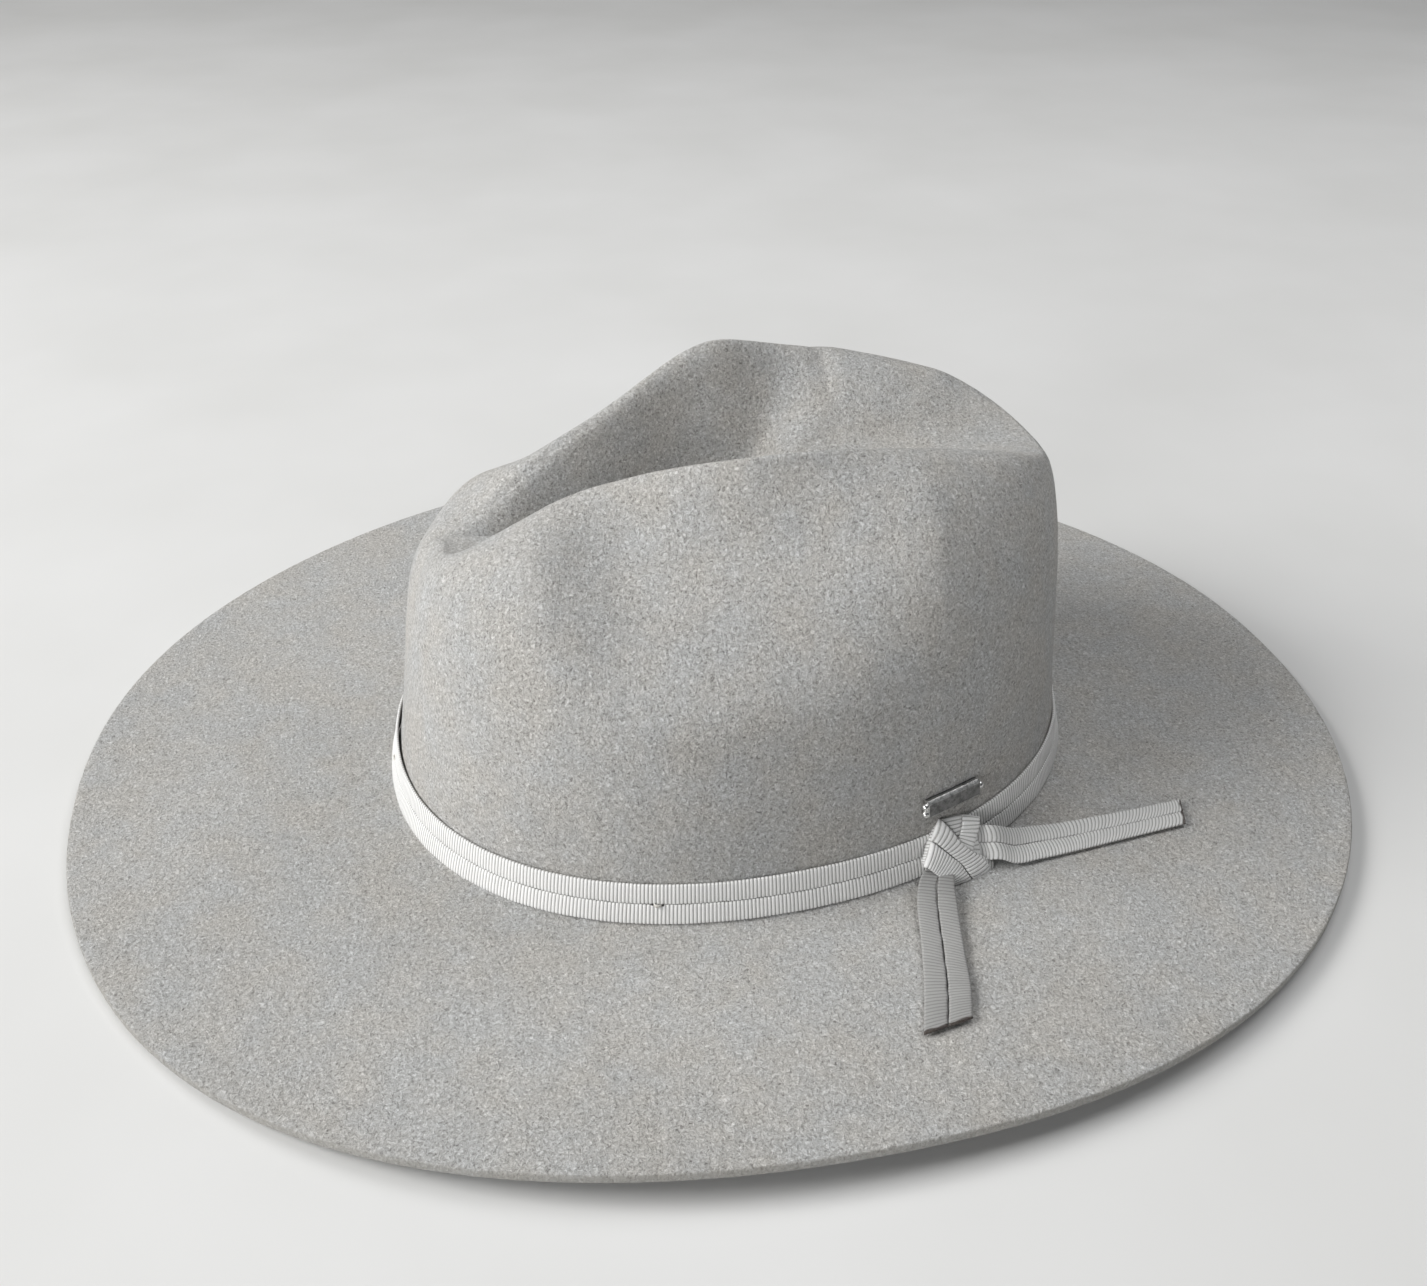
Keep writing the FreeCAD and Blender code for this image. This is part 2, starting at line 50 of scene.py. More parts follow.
# ============================================================ the hat's surface
FELT_T = 2.4
BRIM_HALF_LEN, BRIM_HALF_WID = 192.6, 172.8
BRIM_N, BRIM_EGG = 2.137, 0.0176
BRIM_CX, BRIM_CY = -2.8, -4.5
BASE_HALF_LEN, BASE_HALF_WID = 102.7, 87.2
BASE_N, BASE_EGG = 2.148, -0.0224
BASE_Z, BASE_TILT = 2.4, 0.0161
BAND_GAP, BAND_H = 0.35, 11.6
DENT_MID_Y = 12.0
CREST = [
 (0, -80.0, 78.6), (6, -81.0, 79.3), (12, -80.8, 81.0), (16.2, -78.2, 82.8), (17.9, -73, 85.4), (18.2, -67.5, 88.2),
 (17.9, -60, 91.7), (17.9, -52.5, 94.9), (18.3, -45, 97.9), (19.4, -37.5, 100.6), (21.7, -30, 103.1), (25.2, -22.5, 106.0),
 (29.8, -15, 108.9), (34, -7.5, 111.3), (36.8, 0, 112.9), (38.0, 7.5, 113.5), (38.1, 15, 113.2), (37.5, 22.5, 112.4),
 (36.4, 30, 111.1), (35.1, 37.5, 109.7), (34, 45, 108.3), (33, 52.5, 106.8), (32, 60, 105.2), (30.8, 67.5, 103.2),
 (28.8, 75, 101.1), (25.2, 82.0, 98.0), (18.5, 88, 95.0), (9.5, 91.4, 92.8), (0, 92.6, 92.0)]
VALLEY = [(-80, 78.2), (-70, 74.8), (-60, 73.0), (-50, 72.4), (-40, 72.6), (-20, 75.0), (0, 79.2), (20, 83.4), (40, 87.4),
          (60, 90.3), (75, 91.4), (93, 91.7)]


def smooth(t):
    t = max(0.0, min(1.0, t))
    return t * t * (3 - 2 * t)


def spow(v, e):
    return math.copysign(abs(v) ** e, v)


def smooth_table(tab, x):
    """Catmull-Rom through (x, value) pairs"""
    if x <= tab[0][0]:
        return tab[0][1]
    if x >= tab[-1][0]:
        return tab[-1][1]
    for i in range(len(tab) - 1):
        if x <= tab[i + 1][0]:
            break
    (x1, y1), (x2, y2) = tab[i], tab[i + 1]
    m1 = (y2 - tab[i - 1][1]) / (x2 - tab[i - 1][0]) if i else (y2 - y1) / (x2 - x1)
    m2 = (tab[i + 2][1] - y1) / (tab[i + 2][0] - x1) if i + 2 < len(tab) else (y2 - y1) / (x2 - x1)
    h = x2 - x1
    t = (x - x1) / h
    return ((2 * t ** 3 - 3 * t * t + 1) * y1 + (t ** 3 - 2 * t * t + t) * h * m1
            + (3 * t * t - 2 * t ** 3) * y2 + (t ** 3 - t * t) * h * m2)


def oval(th, a, b, n, y0=0.0, x0=0.0, egg=0.0):
    c, s = math.cos(th), math.sin(th)
    return (spow(c, 2 / n) * b * (1 + egg * s) + x0, spow(s, 2 / n) * a + y0)


def brim_edge(th):
    x, y = oval(th, BRIM_HALF_LEN, BRIM_HALF_WID, BRIM_N, BRIM_CY, BRIM_CX, BRIM_EGG)
    z = (3.2 + 2.8 * math.cos(2 * th) + 0.9 * math.sin(2 * th) + 0.25 * math.cos(3 * th)
         - 0.4 * math.sin(3 * th) + 1.3 * math.cos(4 * th) - 0.7 * math.sin(4 * th))
    return (x, y, z)


def base(th, off=0.0, dz=0.0):
    x, y = oval(th, BASE_HALF_LEN + off, BASE_HALF_WID + off, BASE_N, 0, 0, BASE_EGG)
    return (x, y, BASE_Z + BASE_TILT * y + dz)


def catmull(pts, n):
    out = []
    m = len(pts)
    for i in range(m - 1):
        p0, p1, p2, p3 = pts[max(i - 1, 0)], pts[i], pts[i + 1], pts[min(i + 2, m - 1)]
        if i == 0:
            p0 = (-p2[0], p2[1], p2[2])
        if i == m - 2:
            p3 = (-p1[0], p1[1], p1[2])
        for k in range(n):
            t = k / n
            out.append(tuple(0.5 * ((2 * p1[j]) + (-p0[j] + p2[j]) * t + (2 * p0[j] - 5 * p1[j] + 4 * p2[j] - p3[j]) * t * t
                                    + (-p0[j] + 3 * p1[j] - 3 * p2[j] + p3[j]) * t ** 3) for j in range(3)))
    out.append(tuple(pts[-1]))
    return out


def cumulative(pts):
    c = [0.0]
    for a, b in zip(pts, pts[1:]):
        c.append(c[-1] + math.dist(a, b))
    return c


RIDGE = catmull(CREST, 8)
RIDGE_LEN = cumulative(RIDGE)


def crest(th):
    s, c = math.sin(th), math.cos(th)
    t = (math.atan2(s, abs(c)) + math.pi / 2) / math.pi
    d = t * RIDGE_LEN[-1]
    i = 0
    while i < len(RIDGE_LEN) - 2 and RIDGE_LEN[i + 1] < d:
        i += 1
    f = (d - RIDGE_LEN[i]) / (RIDGE_LEN[i + 1] - RIDGE_LEN[i])
    p = [RIDGE[i][j] + f * (RIDGE[i + 1][j] - RIDGE[i][j]) for j in range(3)]
    if c < 0:                                  # the right-hand ridge runs closer in and lower at the front
        e = math.exp(-((p[1] + 69) / 22) ** 2) * smooth(p[0] / 13)
        p[0] *= 1 - 0.47 * e
        p[2] -= 6.0 * e
        wide = math.exp(-((p[1] - 36) / 20) ** 2)
        tight = math.exp(-((p[1] - 5) / 14) ** 2)
        p[0] += 3.5 * wide - 2.0 * tight
        p[2] += 3.2 * tight - 0.4 * wide
    return (p[0] if c >= 0 else -p[0], p[1], p[2])


def pinch(y, z, side):
    """depth of the finger pinch in the crown's sides: deepest at the front, fading to the back"""
    rise = smooth((y + (63 if side > 0 else 80)) / 32)
    fall = smooth((45 - y) / 64) ** 0.75
    return (24.0 + 18.0 * smooth((z - 78) / 20)) * rise * fall * smooth((z - 57) / 37)


def wall_slope(th):
    s = math.sin(th)
    return 0.10 + 0.05 * max(0, -s) ** 2 - 0.035 * max(0, s) ** 2


def wall_in(th, zr):
    return wall_slope(th) * zr + 1.5 * (1 - math.exp(-zr / 7.0))


def wall(th, n, z0=3.0):
    """from z0 above the foot of the crown up to the ridge"""
    k, c = base(th), crest(th)
    s, co = math.sin(th), abs(math.cos(th))
    D = math.hypot(c[0] - k[0], c[1] - k[1])
    H = c[2] - k[2]
    m = min(wall_slope(th), 0.65 * D / H)
    p = 3.3 + 4.5 * max(0, -s) ** 3 + 6 * max(0, s) ** 4
    ux, uy = (c[0] - k[0]) / D, (c[1] - k[1]) / D
    pts = []
    N = 160
    for i in range(N + 1):
        a = (i / N) ** 1.6 * math.pi / 2
        g = 1 - math.cos(a)
        ze = math.sin(a) ** (2 / p) if i else 0.0
        fl = 1.5 * (1 - math.exp(-ze * H / 7.0))
        h = m * ze * H + fl + (D - m * H - 1.5) * g
        x, y, z = k[0] + ux * h, k[1] + uy * h, k[2] + H * ze
        room = max(abs(x) - abs(c[0]), 0.01)
        q = room * (1 - math.exp(-pinch(y, z, x) * min(1, co * 1.4) / room))
        pts.append((x - q if x > 0 else x + q, y, z))
    i = 0
    while pts[i + 1][2] - k[2] < z0:
        i += 1
    t = (z0 - (pts[i][2] - k[2])) / (pts[i + 1][2] - pts[i][2])
    pts = [tuple(pts[i][q] + t * (pts[i + 1][q] - pts[i][q]) for q in range(3))] + pts[i + 1:]
    cum = cumulative(pts)
    out = []
    j = 0
    for i in range(n + 1):
        d = (1 - (1 - i / n) ** 1.2) * cum[-1]
        while j < len(cum) - 2 and cum[j + 1] < d:
            j += 1
        t = (d - cum[j]) / (cum[j + 1] - cum[j]) if cum[j + 1] > cum[j] else 0
        t = max(0, min(1, t))
        out.append(tuple(pts[j][q] + t * (pts[j + 1][q] - pts[j][q]) for q in range(3)))
    return out


def dent(th, n):
    c = crest(th)
    yc = c[1]
    yv = DENT_MID_Y + (yc - DENT_MID_Y) * (0.97 if yc < DENT_MID_Y else 0.70)
    out = []
    for i in range(1, n + 1):
        w = i / n
        x = c[0] * (1 - w)
        y = yc + (yv - yc) * w
        zf = smooth_table(VALLEY, y)
        fr = 1 - smooth((yc + 50) / 55)
        bk = smooth((yc - 28 + 45 * w) / 36)
        z = zf + (c[2] - zf) * (1 - smooth((w / (0.50 + 0.14 * fr + 0.42 * bk)) ** (1.12 - 0.12 * bk)))
        y2 = y + (DENT_MID_Y - y) * w ** 5
        z += (smooth_table(VALLEY, y2) - zf) * w ** 5
        out.append((x, y2, z))
    return out


N_BRIM, N_FOOT, N_WALL, N_DENT = 44, 9, 84, 54


def column(th):
    e, k = brim_edge(th), base(th, 3.2)
    col = []
    for i in range(N_BRIM):
        f = i / N_BRIM
        col.append((e[0] + (k[0] - e[0]) * f, e[1] + (k[1] - e[1]) * f, e[2] + (k[2] - 0.05 - e[2]) * f))
    wi = wall_in(th, 3.0)
    for i in range(N_FOOT):
        t = i / N_FOOT
        o = (1 - t) ** 2 * 3.2 + 2 * t * (1 - t) * (-0.35) + t * t * (-wi)
        z = (1 - t) ** 2 * (-0.05) + 2 * t * (1 - t) * (-0.05) + t * t * 3.0
        col.append(base(th, o, z))
    return col + wall(th, N_WALL) + dent(th, N_DENT)


def ring_normals(G):
    """normals of a grid closed along axis 0"""
    du = np.roll(G, -1, 0) - np.roll(G, 1, 0)
    dv = np.zeros_like(G)
    dv[:, 1:-1] = G[:, 2:] - G[:, :-2]
    dv[:, 0] = G[:, 1] - G[:, 0]
    dv[:, -1] = G[:, -1] - G[:, -2]
    n = np.cross(du, dv)
    l = np.linalg.norm(n, axis=2, keepdims=True)
    n = n / np.maximum(l, 1e-9)
    n[:, -1] = (0, 0, 1)
    return n


def relax(G, k0, k1, rounds, amount=0.5):
    G = G.copy()
    for _ in range(rounds):
        a = np.roll(G, -1, 0)[:, k0:k1] + np.roll(G, 1, 0)[:, k0:k1] + G[:, k0 + 1:k1 + 1] + G[:, k0 - 1:k1 - 1]
        G[:, k0:k1] = (1 - amount) * G[:, k0:k1] + amount * a / 4
    return G


def surface(nt):
    return np.array([column(2 * math.pi * i / nt) for i in range(nt)])


# ============================================================ mesh helpers
def to_m(P):
    return (np.asarray(P, float) + SHIFT) / 1000.0


def mesh(name, verts, faces, uv=None, attrs=None, smooth_faces=True, flat_angle=None):
    me = bpy.data.meshes.new(name)
    me.from_pydata([tuple(v) for v in to_m(verts)], [], faces)
    me.update()
    if uv is not None:
        layer = me.uv_layers.new(name="UVMap")
        idx = np.zeros(len(me.loops), np.int32)
        me.loops.foreach_get("vertex_index", idx)
        layer.data.foreach_set("uv", np.asarray(uv, np.float32)[idx].ravel())
    for key, vals in (attrs or {}).items():
        a = me.attributes.new(key, "FLOAT", "POINT")
        a.data.foreach_set("value", np.asarray(vals, np.float32))
    me.polygons.foreach_set("use_smooth", [smooth_faces] * len(me.polygons))
    if flat_angle is not None:
        me.set_sharp_from_angle(angle=math.radians(flat_angle))
    o = bpy.data.objects.new(name, me)
    bpy.context.scene.collection.objects.link(o)
    return o


def put(o, body, slot, material, *replaced):
    o.data.materials.clear()
    o.data.materials.append(material)
    if replaced:
        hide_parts(*replaced)
    if body:
        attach(o, body)
    return o


def ring_grid_faces(nu, rows, start=0):
    """quads of rows rings of nu points each; vertex = start + ring * nu + i"""
    f = []
    for k in range(rows - 1):
        a, b = start + k * nu, start + (k + 1) * nu
        for i in range(nu):
            j = (i + 1) % nu
            f.append((a + i, a + j, b + j, b + i))
    return f


def closed_shell(name, rings, **kw):
    """closed ring of section: rings is a list of (nu, 3) rings, the last joins the first"""
    nu, m = len(rings[0]), len(rings)
    v = np.concatenate([np.asarray(r, float) for r in rings])
    f = []
    for k in range(m):
        a, b = k * nu, ((k + 1) % m) * nu
        for i in range(nu):
            j = (i + 1) % nu
            f.append((a + i, a + j, b + j, b + i))
    return mesh(name, v, f, **kw)


def line_tube(pts, r, n=8, closed=False, start=0, twist=0.0, lobes=0, lobe=0.0, taper=False):
    """verts and faces of a tube along points"""
    P = np.asarray(pts, float)
    m = len(P)
    if closed:
        T = np.roll(P, -1, 0) - np.roll(P, 1, 0)
    else:
        T = np.gradient(P, axis=0)
    T /= np.maximum(np.linalg.norm(T, axis=1, keepdims=True), 1e-9)
    ref = np.array([0.0, 0.0, 1.0])
    if abs(T[0] @ ref) > 0.9:
        ref = np.array([1.0, 0.0, 0.0])
    S = []
    s = np.cross(T[0], ref)
    s /= np.linalg.norm(s)
    for t in T:
        s = s - t * (s @ t)
        s /= np.linalg.norm(s)
        S.append(s)
    S = np.array(S)
    if closed:
        S = np.cross(T, np.array([0.0, 0.0, 1.0]))
        S /= np.linalg.norm(S, axis=1, keepdims=True)
    U = np.cross(S, T)
    cum = np.concatenate([[0], np.cumsum(np.linalg.norm(np.diff(P, axis=0), axis=1))])
    v = []
    for i in range(m):
        k = 1.0
        if taper:
            e = min(i, m - 1 - i)
            k = (0.45, 0.85, 1.0)[min(e, 2)]
        for q in range(n):
            a = 2 * math.pi * q / n
            rr = r * k * (1 + lobe * math.cos(lobes * a + twist * cum[i]))
            v.append(P[i] + rr * (math.cos(a) * S[i] + math.sin(a) * U[i]))
    f = []
    for i in range(m if closed else m - 1):
        a, b = start + i * n, start + ((i + 1) % m) * n
        for q in range(n):
            p = (q + 1) % n
            f.append((a + q, a + p, b + p, b + q))
    if not closed:
        f.append(tuple(start + q for q in reversed(range(n))))
        f.append(tuple(start + (m - 1) * n + q for q in range(n)))
    return v, f


def through(P, t):
    """Catmull-Rom through points at parameters 0..1"""
    P = np.asarray(P, float)
    m = len(P) - 1
    t = np.clip(np.asarray(t, float), 0, 1) * m
    i = np.minimum(t.astype(int), m - 1)
    u = (t - i)[:, None]
    Q = np.vstack([2 * P[0] - P[1], P, 2 * P[-1] - P[-2]])
    p0, p1, p2, p3 = Q[i], Q[i + 1], Q[i + 2], Q[i + 3]
    return 0.5 * (2 * p1 + (-p0 + p2) * u + (2 * p0 - 5 * p1 + 4 * p2 - p3) * u * u + (-p0 + 3 * p1 - 3 * p2 + p3) * u ** 3)


RIB = 1.05       # rib pitch of the grosgrain


def ribbon(name, A, B, up, M=None, thick=0.85, gap=0.16, rib=0.13, bow=0.0, seed=0.0, closed=False, per=8, scallop=0.07,
           halves=2, crown=0.4, shift_half=0.5, cut=(False, False), pitch=RIB, edge_r=0.5, fray=0.0, lift=0.0):
    """A folded ribbon with cross ribs, made of one or two closed tubes that lie side by side.
    A and B are its two long edges and M the line where its folded edges meet; its flat back lies on them
    and up points out of its face. Returns the object."""
    if closed:
        a_, b_, m_ = np.asarray(A, float), np.asarray(B, float), np.asarray(M if M is not None else (np.asarray(A) + np.asarray(B)) / 2, float)
        ns = len(a_)
        seg = np.linalg.norm(np.roll(m_, -1, 0) - m_, axis=1)
        s = np.concatenate([[0], np.cumsum(seg)[:-1]])
        s = s / (s[-1] + seg[-1]) * (ns / per) * pitch
        T = np.roll(m_, -1, 0) - np.roll(m_, 1, 0)
    else:
        tt = np.linspace(0, 1, 400)
        Mp = M if M is not None else (np.asarray(A, float) + np.asarray(B, float)) / 2
        m_ = through(Mp, tt)
        cum = np.concatenate([[0], np.cumsum(np.linalg.norm(np.diff(m_, axis=0), axis=1))])
        ns = max(int(cum[-1] / pitch * per), 8) + 1
        tt = np.interp(np.linspace(0, cum[-1], ns), cum, tt)
        a_, b_, m_ = through(A, tt), through(B, tt), through(Mp, tt)
        s = np.linspace(0, cum[-1], ns)
        T = np.gradient(m_, axis=0)
    T /= np.linalg.norm(T, axis=1, keepdims=True)
    up = np.asarray(up, float)
    up = np.broadcast_to(up, T.shape)
    verts, faces, uvs, ends, hs = [], [], [], [], []
    xs = np.array([0.0, 0.03, 0.10, 0.25, 0.42, 0.58, 0.75, 0.90, 0.97, 1.0, 0.985, 0.75, 0.5, 0.25, 0.015])
    top = np.array([1] * 10 + [0] * 5, bool)
    for half in range(halves):
        p, q = (a_, b_) if halves == 1 else ((a_, m_) if half == 0 else (m_, b_))
        w = q - p
        W = np.linalg.norm(w, axis=1)
        wu = w / np.maximum(W, 1e-6)[:, None]
        n = np.cross(T, wu)
        n /= np.maximum(np.linalg.norm(n, axis=1, keepdims=True), 1e-9)
        n *= np.sign((n * up).sum(1))[:, None]
        g = gap / 2 * (1 + 0.9 * np.sin(s * 0.9 + 1.7 * half + seed) * np.sin(s * 0.31 + seed))
        lo = np.zeros(ns) if (halves == 1 or half == 0) else g
        hi = W if (halves == 1 or half == 1) else W - g
        start = len(verts)
        for j, x in enumerate(xs):
            ph = (s + bow * ((x - 0.5) ** 2) * 4) / pitch + (shift_half if half else 0) + seed
            r = np.abs(np.sin(np.pi * ph)) ** 0.75
            edge = 2 * abs(x - 0.5)
            across = lo + (hi - lo) * x
            sc = scallop * (r - 0.5) * 2 * (1 if edge > 0.9 else 0)
            across = across + (sc if x > 0.5 else -sc)
            if top[j]:
                hgt = thick * ((1 - crown) + crown * math.sqrt(max(0.0, 1 - edge ** 2.6))) * (edge_r if edge == 1 else 1)
                hgt = hgt + rib * (r - 0.6) * (1 if edge < 1 else 0.5)
                hgt = hgt + 0.05 * np.sin(s * 0.37 + x * 3 + seed * 5) + lift
            else:
                hgt = (0.12 if edge > 0.9 else 0.0) + np.zeros(ns)
            P = p + wu * across[:, None] + n * np.asarray(hgt)[:, None]
            verts.append(P)
            uvs.append(np.stack([(s + bow * ((x - 0.5) ** 2) * 4) / pitch + (shift_half if half else 0) + seed,
                                 across + half * 7.3], 1))
            e = np.zeros(ns)
            if cut[0]:
                e = np.maximum(e, np.clip(1 - s / 0.55, 0, 1))
            if cut[1]:
                e = np.maximum(e, np.clip((0.80 + 0.22 * math.sin(x * 8 + half * 2.6 + seed) - (s[-1] - s)) / 0.30, 0, 1))
            ends.append(e)
            hs.append(np.full(ns, edge if top[j] else 1.0))
        m = len(xs)
        for j in range(m):
            a, b = (start + j) * ns, (start + (j + 1) % m) * ns
            for i in range(ns if closed else ns - 1):
                i2 = (i + 1) % ns
                faces.append((a + i, a + i2, b + i2, b + i))
        if not closed:
            faces.append(tuple((start + j) * ns for j in range(m)))
            faces.append(tuple((start + j) * ns + ns - 1 for j in reversed(range(m))))
    V = np.concatenate(verts)
    me_uv = np.concatenate(uvs)
    o = mesh(name, V, faces, uv=me_uv, attrs={"cut_end": np.concatenate(ends), "selvedge": np.concatenate(hs)})
    fix_normals(o)
    return o


def fix_normals(o):
    import bmesh
    bm = bmesh.new()
    bm.from_mesh(o.data)
    bmesh.ops.recalc_face_normals(bm, faces=bm.faces)
    bm.to_mesh(o.data)
    bm.free()


def merge(name, objs):
    """one object from several meshes, same material"""
    bpy.ops.object.select_all(action="DESELECT")
    for o in objs:
        o.select_set(True)
    bpy.context.view_layer.objects.active = objs[0]
    bpy.ops.object.join()
    o = bpy.context.view_layer.objects.active
    o.name = name
    o.data.name = name
    return o


# ============================================================ materials
class Nodes:
    def __init__(self, name):
        self.m = bpy.data.materials.new(name)
        self.m.use_nodes = True
        self.t = self.m.node_tree
        self.t.nodes.clear()
        self.out = self.t.nodes.new("ShaderNodeOutputMaterial")
        self.b = self.t.nodes.new("ShaderNodeBsdfPrincipled")
        self.t.links.new(self.b.outputs[0], self.out.inputs[0])
        self.co = self.t.nodes.new("ShaderNodeTexCoord")

    def set(self, **kw):
        for k, v in kw.items():
            s = self.b.inputs[k.replace("_", " ")]
            s.default_value = v
        return self

    def link(self, a, b):
        self.t.links.new(a, b)

    def put(self, name, value):
        self.link(value, self.b.inputs[name])

    def noise(self, scale, detail=2.0, rough=0.5, vec=None, dist=0.0, color=False):
        n = self.t.nodes.new("ShaderNodeTexNoise")
        n.inputs["Scale"].default_value = scale
        n.inputs["Detail"].default_value = detail
        n.inputs["Roughness"].default_value = rough
        n.inputs["Distortion"].default_value = dist
        self.link(vec if vec is not None else self.co.outputs["Object"], n.inputs["Vector"])
        return n.outputs["Color" if color else "Fac"]

    def voronoi(self, scale, vec=None, feature="F1", out="Distance"):
        n = self.t.nodes.new("ShaderNodeTexVoronoi")
        n.feature = feature
        n.inputs["Scale"].default_value = scale
        self.link(vec if vec is not None else self.co.outputs["Object"], n.inputs["Vector"])
        return n.outputs[out]

    def math(self, op, a, b=0.0, c=0.0, clamp=False):
        n = self.t.nodes.new("ShaderNodeMath")
        n.operation = op
        n.use_clamp = clamp
        for i, v in enumerate((a, b, c)):
            if isinstance(v, (int, float)):
                n.inputs[i].default_value = v
            else:
                self.link(v, n.inputs[i])
        return n.outputs[0]

    def vmath(self, op, a, b=None):
        n = self.t.nodes.new("ShaderNodeVectorMath")
        n.operation = op
        for i, v in enumerate((a, b)):
            if v is None:
                continue
            if isinstance(v, (tuple, list)):
                n.inputs[i].default_value = v
            else:
                self.link(v, n.inputs[i])
        return n.outputs[0]

    def range(self, v, a, b, c=0.0, d=1.0, smooth_=False):
        n = self.t.nodes.new("ShaderNodeMapRange")
        n.interpolation_type = "SMOOTHSTEP" if smooth_ else "LINEAR"
        self.link(v, n.inputs["Value"])
        for k, x in zip(("From Min", "From Max", "To Min", "To Max"), (a, b, c, d)):
            n.inputs[k].default_value = x
        return n.outputs[0]

    def ramp(self, v, stops):
        n = self.t.nodes.new("ShaderNodeValToRGB")
        e = n.color_ramp.elements
        while len(e) < len(stops):
            e.new(0.5)
        for el, (p, c) in zip(e, stops):
            el.position = p
            el.color = (*c, 1)
        self.link(v, n.inputs[0])
        return n.outputs[0]

    def mix(self, f, a, b, mode="MIX"):
        n = self.t.nodes.new("ShaderNodeMix")
        n.data_type = "RGBA"
        n.blend_type = mode
        for s, v in ((n.inputs[0], f), (n.inputs[6], a), (n.inputs[7], b)):
            if isinstance(v, (int, float)):
                s.default_value = v
            elif isinstance(v, (tuple, list)):
                s.default_value = (*v, 1)
            else:
                self.link(v, s)
        return n.outputs[2]

    def sep(self, v):
        n = self.t.nodes.new("ShaderNodeSeparateXYZ")
        self.link(v, n.inputs[0])
        return n.outputs

    def comb(self, x, y, z=0.0):
        n = self.t.nodes.new("ShaderNodeCombineXYZ")
        for i, v in enumerate((x, y, z)):
            if isinstance(v, (int, float)):
                n.inputs[i].default_value = v
            else:
                self.link(v, n.inputs[i])
        return n.outputs[0]

    def attr(self, name):
        n = self.t.nodes.new("ShaderNodeAttribute")
        n.attribute_name = name
        return n.outputs["Fac"]

    def bump(self, h, dist, strength=1.0, normal=None):
        n = self.t.nodes.new("ShaderNodeBump")
        n.inputs["Distance"].default_value = dist
        n.inputs["Strength"].default_value = strength
        self.link(h, n.inputs["Height"])
        if normal is not None:
            self.link(normal, n.inputs["Normal"])
        return n.outputs[0]


def felt_material():
    g = Nodes("felt")
    co = g.co.outputs["Object"]
    warp = g.vmath("MULTIPLY", g.vmath("SUBTRACT", g.noise(700, 2, 0.5, color=True), (0.5, 0.5, 0.5)), (0.0022, 0.0022, 0.0022))
    wc = g.vmath("ADD", co, warp)
    fib = g.noise(1300, 4, 0.66, wc)
    fine = g.noise(2900, 3, 0.6, wc)
    clump = g.noise(380, 2, 0.5, wc)
    mott = g.noise(60, 3, 0.55)
    patch = g.noise(11, 2, 0.5)
    col = g.ramp(g.math("ADD", g.math("MULTIPLY", fib, 0.7), g.math("MULTIPLY", fine, 0.3)), [
        (0.35, (0.185, 0.178, 0.168)), (0.45, (0.42, 0.412, 0.398)), (0.55, (0.57, 0.565, 0.552)), (0.65, (0.82, 0.815, 0.805))])
    k = g.math("ADD", g.math("MULTIPLY", g.math("SUBTRACT", clump, 0.5), 0.20),
               g.math("MULTIPLY", g.math("SUBTRACT", patch, 0.5), 0.16))
    k = g.math("ADD", k, 1.0)
    col = g.vmath("MULTIPLY", col, g.comb(k, k, k))
    tint = g.ramp(mott, [(0.35, (0.98, 0.995, 1.015)), (0.65, (1.01, 0.99, 0.965))])
    col = g.mix(1.0, col, tint, "MULTIPLY")
    # the brim's cut edge is darkened, mottled by a fine noise
    edge = g.attr("felt_edge")
    edge_noise = g.noise(1500, 4, 0.7)
    col = g.mix(g.math("MULTIPLY", edge, g.range(edge_noise, 0.3, 0.7, 0.35, 0.75)), col, (0.30, 0.288, 0.26))
    g.put("Base Color", col)
    g.put("Roughness", g.range(fib, 0.3, 0.7, 0.88, 1.0))
    h = g.math("ADD", g.math("MULTIPLY", fib, 0.75), g.math("MULTIPLY", fine, 0.25))
    h = g.math("ADD", h, g.math("MULTIPLY", clump, 0.55))
    g.put("Normal", g.bump(h, 0.0010, 0.85))
    g.set(Specular_IOR_Level=0.25, Sheen_Weight=0.22, Sheen_Roughness=0.6)
    g.b.inputs["Sheen Tint"].default_value = (0.96, 0.95, 0.92, 1)
    return g.m


